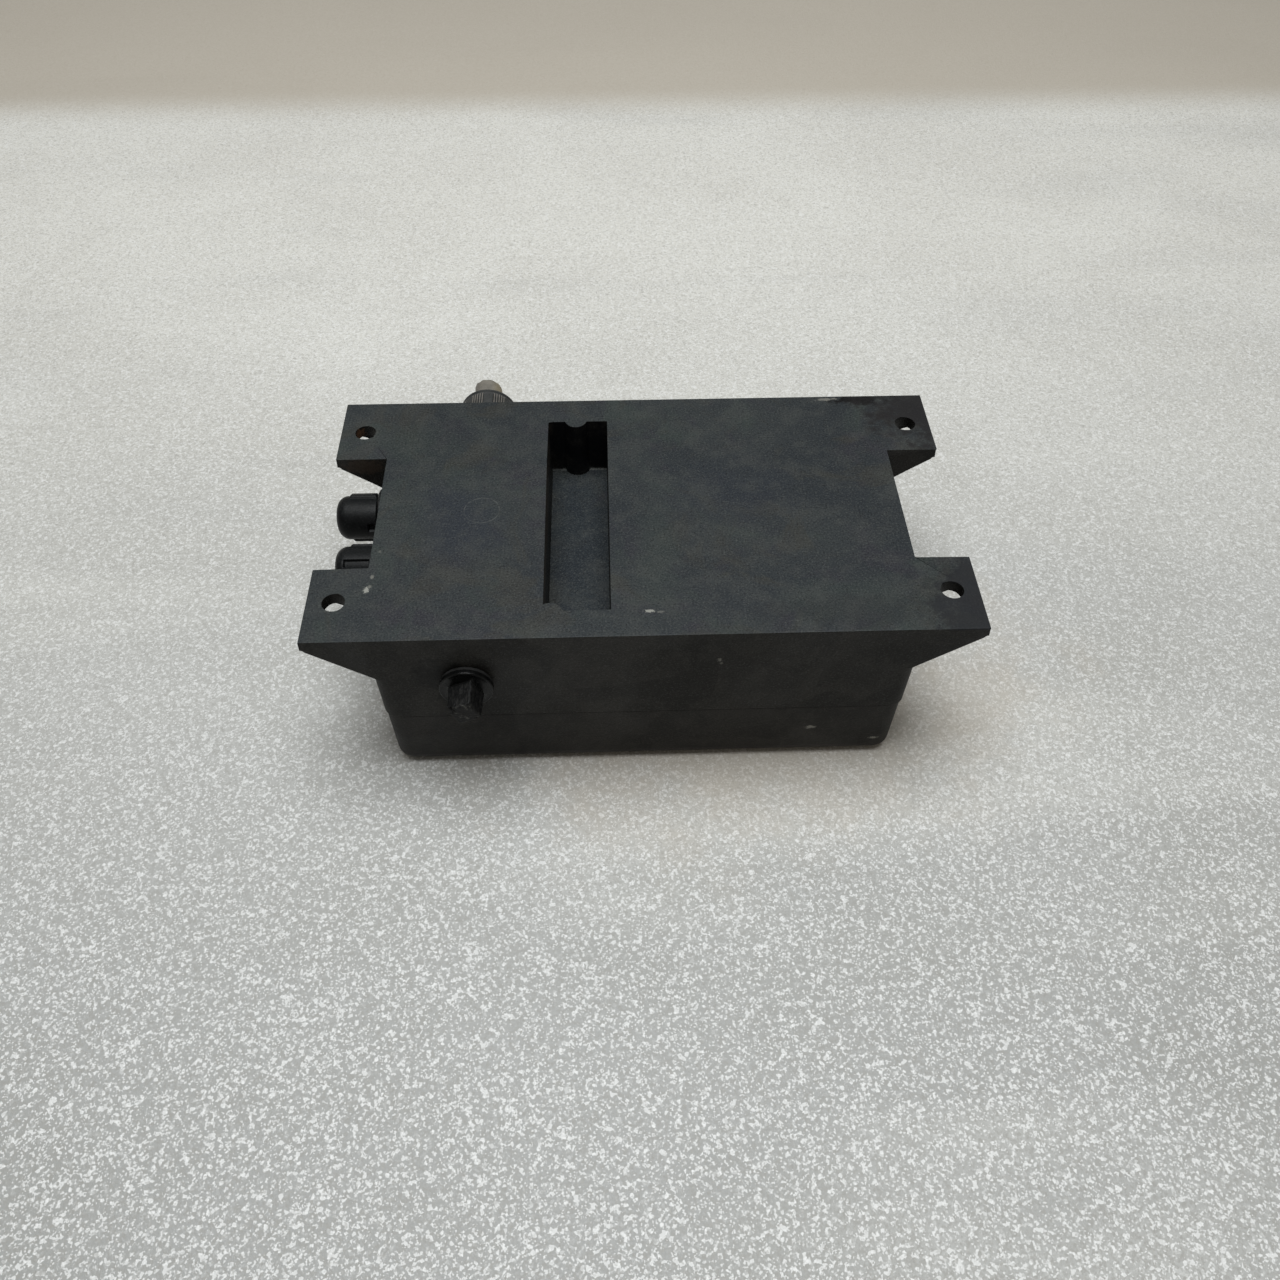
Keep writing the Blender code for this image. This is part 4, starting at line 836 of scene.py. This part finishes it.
SLOT_LOOKS = {
    "shell": SHELL,
    "cover": COVER,
    "fitting": FITTING,
    "rubber": RUBBER,
    "steel": STEEL,
    "contact": GILT,
    "cable": CABLE,
    "board": board_laminate("board_laminate"),
    "epoxy": glossy_mould("component_epoxy", (0.020, 0.020, 0.022), rough=(0.36, 0.5)),
    "relay": glossy_mould("relay_case", (0.025, 0.085, 0.26)),
    "terminal": glossy_mould("terminal_block", (0.035, 0.20, 0.075)),
    "aluminium": ALUMINIUM,
    "sleeve": glossy_mould("capacitor_sleeve", (0.012, 0.020, 0.050), rough=(0.22, 0.34)),
    "winding": COPPER,
    "fuse": glossy_mould("fuse_body", (0.60, 0.26, 0.03), rough=(0.18, 0.3)),
    "wire_red": insulated_wire("wire_red", (0.42, 0.025, 0.02)),
    "wire_black": insulated_wire("wire_black", (0.014, 0.014, 0.015)),
    "wire_blue": insulated_wire("wire_blue", (0.02, 0.06, 0.38)),
    "wire_white": insulated_wire("wire_white", (0.62, 0.62, 0.60)),
}


SAME_POINT = 0.000002
SAME_PLANE = math.radians(0.4)
SHARP_EDGE = math.radians(28)
ROUNDED = {"housing": (0.0004, 3), "cover": (0.0003, 2), "gland_body": (0.0003, 2)}


def slot_of_nodes():
    """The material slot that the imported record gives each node."""
    return {part["node"]: part["material_slot"] for part in frame["record"]["subparts"]}


def dress(node, look):
    node.data.materials.clear()
    node.data.materials.append(look)


def soften(node, width, segments):
    """Merges a node's flat triangles and rounds its sharp edges a little, as modifiers."""
    weld = node.modifiers.new("weld", "WELD")
    weld.merge_threshold = SAME_POINT
    flatten = node.modifiers.new("flatten", "DECIMATE")
    flatten.decimate_type = "DISSOLVE"
    flatten.angle_limit = SAME_PLANE
    bevel = node.modifiers.new("soft_edges", "BEVEL")
    bevel.width = width
    bevel.offset_type = "ABSOLUTE"
    bevel.segments = segments
    bevel.limit_method = "ANGLE"
    bevel.angle_limit = SHARP_EDGE
    bevel.use_clamp_overlap = False
    bevel.miter_outer = "MITER_ARC"
    shading = node.modifiers.new("flat_faces_lead", "WEIGHTED_NORMAL")
    shading.mode = "FACE_AREA"
    shading.weight = 100
    shading.keep_sharp = False


def clear_stored_normals(node):
    """Drops the normals that came with the file, so that shading follows the modifiers."""
    for name in ("custom_normal", "sharp_edge", "sharp_face"):
        layer = node.data.attributes.get(name)
        if layer is not None:
            node.data.attributes.remove(layer)
    node.data.shade_smooth()


def dress_nodes():
    slots = slot_of_nodes()
    for name, node in NODES.items():
        dress(node, SLOT_LOOKS[slots[name]])
    for name, (width, segments) in ROUNDED.items():
        clear_stored_normals(NODES[name])
        soften(NODES[name], width, segments)


# ---------------------------------------------------------------- floor, light and camera


def floor_look():
    """Pale grey foam sheet: fine cells with painted glints, faint stains and swells, crisper towards the
    front, brighter towards the back as painted light, a painted warm shadow round the box, and a duller
    band far back."""
    look = Look("pale_floor", IOR=1.45)
    cells = look.noise(560.0, 3.0, 0.7)
    stains = look.step(look.noise(9.0, 4.0, 0.6, warp=0.5), 0.35, 0.7)
    # Darker at the front and lighter at the back: painted light, under the stains
    near = look.mix(stains, (0.395, 0.402, 0.398), (0.350, 0.356, 0.345))
    far = look.mix(stains, (0.775, 0.770, 0.725), (0.720, 0.710, 0.665))
    tone = look.mix(look.step(look.axis(1), -0.22, 0.34), near, far)
    tone = look.mix(look.step(cells, 0.52, 0.70, 0.0, 0.5), tone, (0.74, 0.75, 0.74))
    tone = look.mix(look.step(cells, 0.30, 0.46, 0.6, 0.0), tone, (0.40, 0.395, 0.37))
    swell = look.noise(7.0, 3.0, 0.5, (0.35, 1.5, 1.0), warp=0.4)
    tone = look.mix(look.step(swell, 0.50, 0.66, 0.0, 0.30), tone, (0.80, 0.80, 0.76))
    tone = look.mix(look.step(swell, 0.34, 0.48, 0.20, 0.0), tone, (0.42, 0.43, 0.43))
    crisp = look.step(look.axis(1), -0.17, 0.02, 0.85, 0.5)
    # Fine cells: the bright ones are painted glints off the foam, the dark ones its grain
    for scale, pale, dull in ((1150.0, 0.75, 0.60), (2100.0, 0.70, 0.55)):
        grain = look.add("ShaderNodeTexVoronoi", {"Vector": look.place, "Scale": scale})
        chance = look.add("ShaderNodeSeparateColor", {0: grain.outputs["Color"]}).outputs[0]
        painted_glints = look.times(look.step(chance, 0.80, 0.90, 0.0, pale), crisp)
        dark = look.times(look.step(chance, 0.08, 0.30, dull, 0.0), crisp)
        tone = look.mix(painted_glints, tone, (0.93, 0.94, 0.94))
        tone = look.mix(dark, tone, (0.36, 0.355, 0.335))
    # A painted warm shadow on the floor round the box, centred a little to the front and right
    painted_warm_shadow = look.times(look.spot((0.035, -0.02, 0.0), (0.130, 0.085, 0.05), 0.5, 30.0, 0.7), 0.45)
    tone = look.mix(painted_warm_shadow, tone, (0.520, 0.445, 0.350))
    back = look.step(look.axis(1), 0.385, 0.43, 0.0, 0.8)
    tone = look.mix(back, tone, (0.50, 0.45, 0.375))
    fine = look.noise(1700.0, 2.0, 0.7)
    height = look.math("ADD", look.times(cells, 0.7), look.times(fine, 0.3))
    return look.finish(tone, look.step(fine, 0.3, 0.7, 0.35, 0.6), look.bump(height, 0.0006, 0.6))


def build_floor():
    sheet = bmesh.new()
    bmesh.ops.create_grid(sheet, x_segments=24, y_segments=24, size=3.0)
    floor = piece_from("floor", sheet, floor_look())


def build_ceiling_light():
    """A broad round light straight above, facing down."""
    data = bpy.data.lights.new("ceiling", "AREA")
    data.shape = "DISK"
    data.size = 0.95
    data.energy = 16.0
    data.color = (0.965, 0.99, 1.0)
    light = bpy.data.objects.new("ceiling", data)
    light.location = (-0.03, 0.02, 1.3)
    bpy.context.scene.collection.objects.link(light)


def build_light():
    scene = bpy.context.scene
    scene.view_settings.view_transform = "Standard"
    scene.view_settings.look = "None"
    scene.view_settings.exposure = 0.0
    world = bpy.data.worlds.new("room")
    scene.world = world
    world.use_nodes = True
    ambient = world.node_tree.nodes["Background"]
    ambient.inputs["Color"].default_value = (1.0, 0.94, 0.84, 1.0)
    ambient.inputs["Strength"].default_value = 0.2
    build_ceiling_light()


CAMERA_PLACE = (-0.00988, -0.24974, 0.30188)
CAMERA_RIGHT = (0.99944, -0.0331, 0.00574)
CAMERA_UP = (0.02195, 0.77288, 0.63417)
CAMERA_BACK = (-0.02543, -0.63369, 0.77317)


def build_camera():
    data = bpy.data.cameras.new("camera")
    data.sensor_width = 36.0
    data.lens = 30.94
    camera = bpy.data.objects.new("camera", data)
    turned = Matrix((CAMERA_RIGHT, CAMERA_UP, CAMERA_BACK)).transposed().to_4x4()
    camera.matrix_world = Matrix.Translation(CAMERA_PLACE) @ turned
    bpy.context.scene.collection.objects.link(camera)
    bpy.context.scene.camera = camera


build_camera()
build_light()
build_floor()
dress_nodes()
for cap_number in (1, 2):
    build_cap(cap_number, FITTING)
build_gland_nut(gland_nut_plastic("gland_nut_plastic"))
build_plug(plug_plastic("plug_plastic"))
build_cable(CABLE, CORE_ENDS, COPPER)
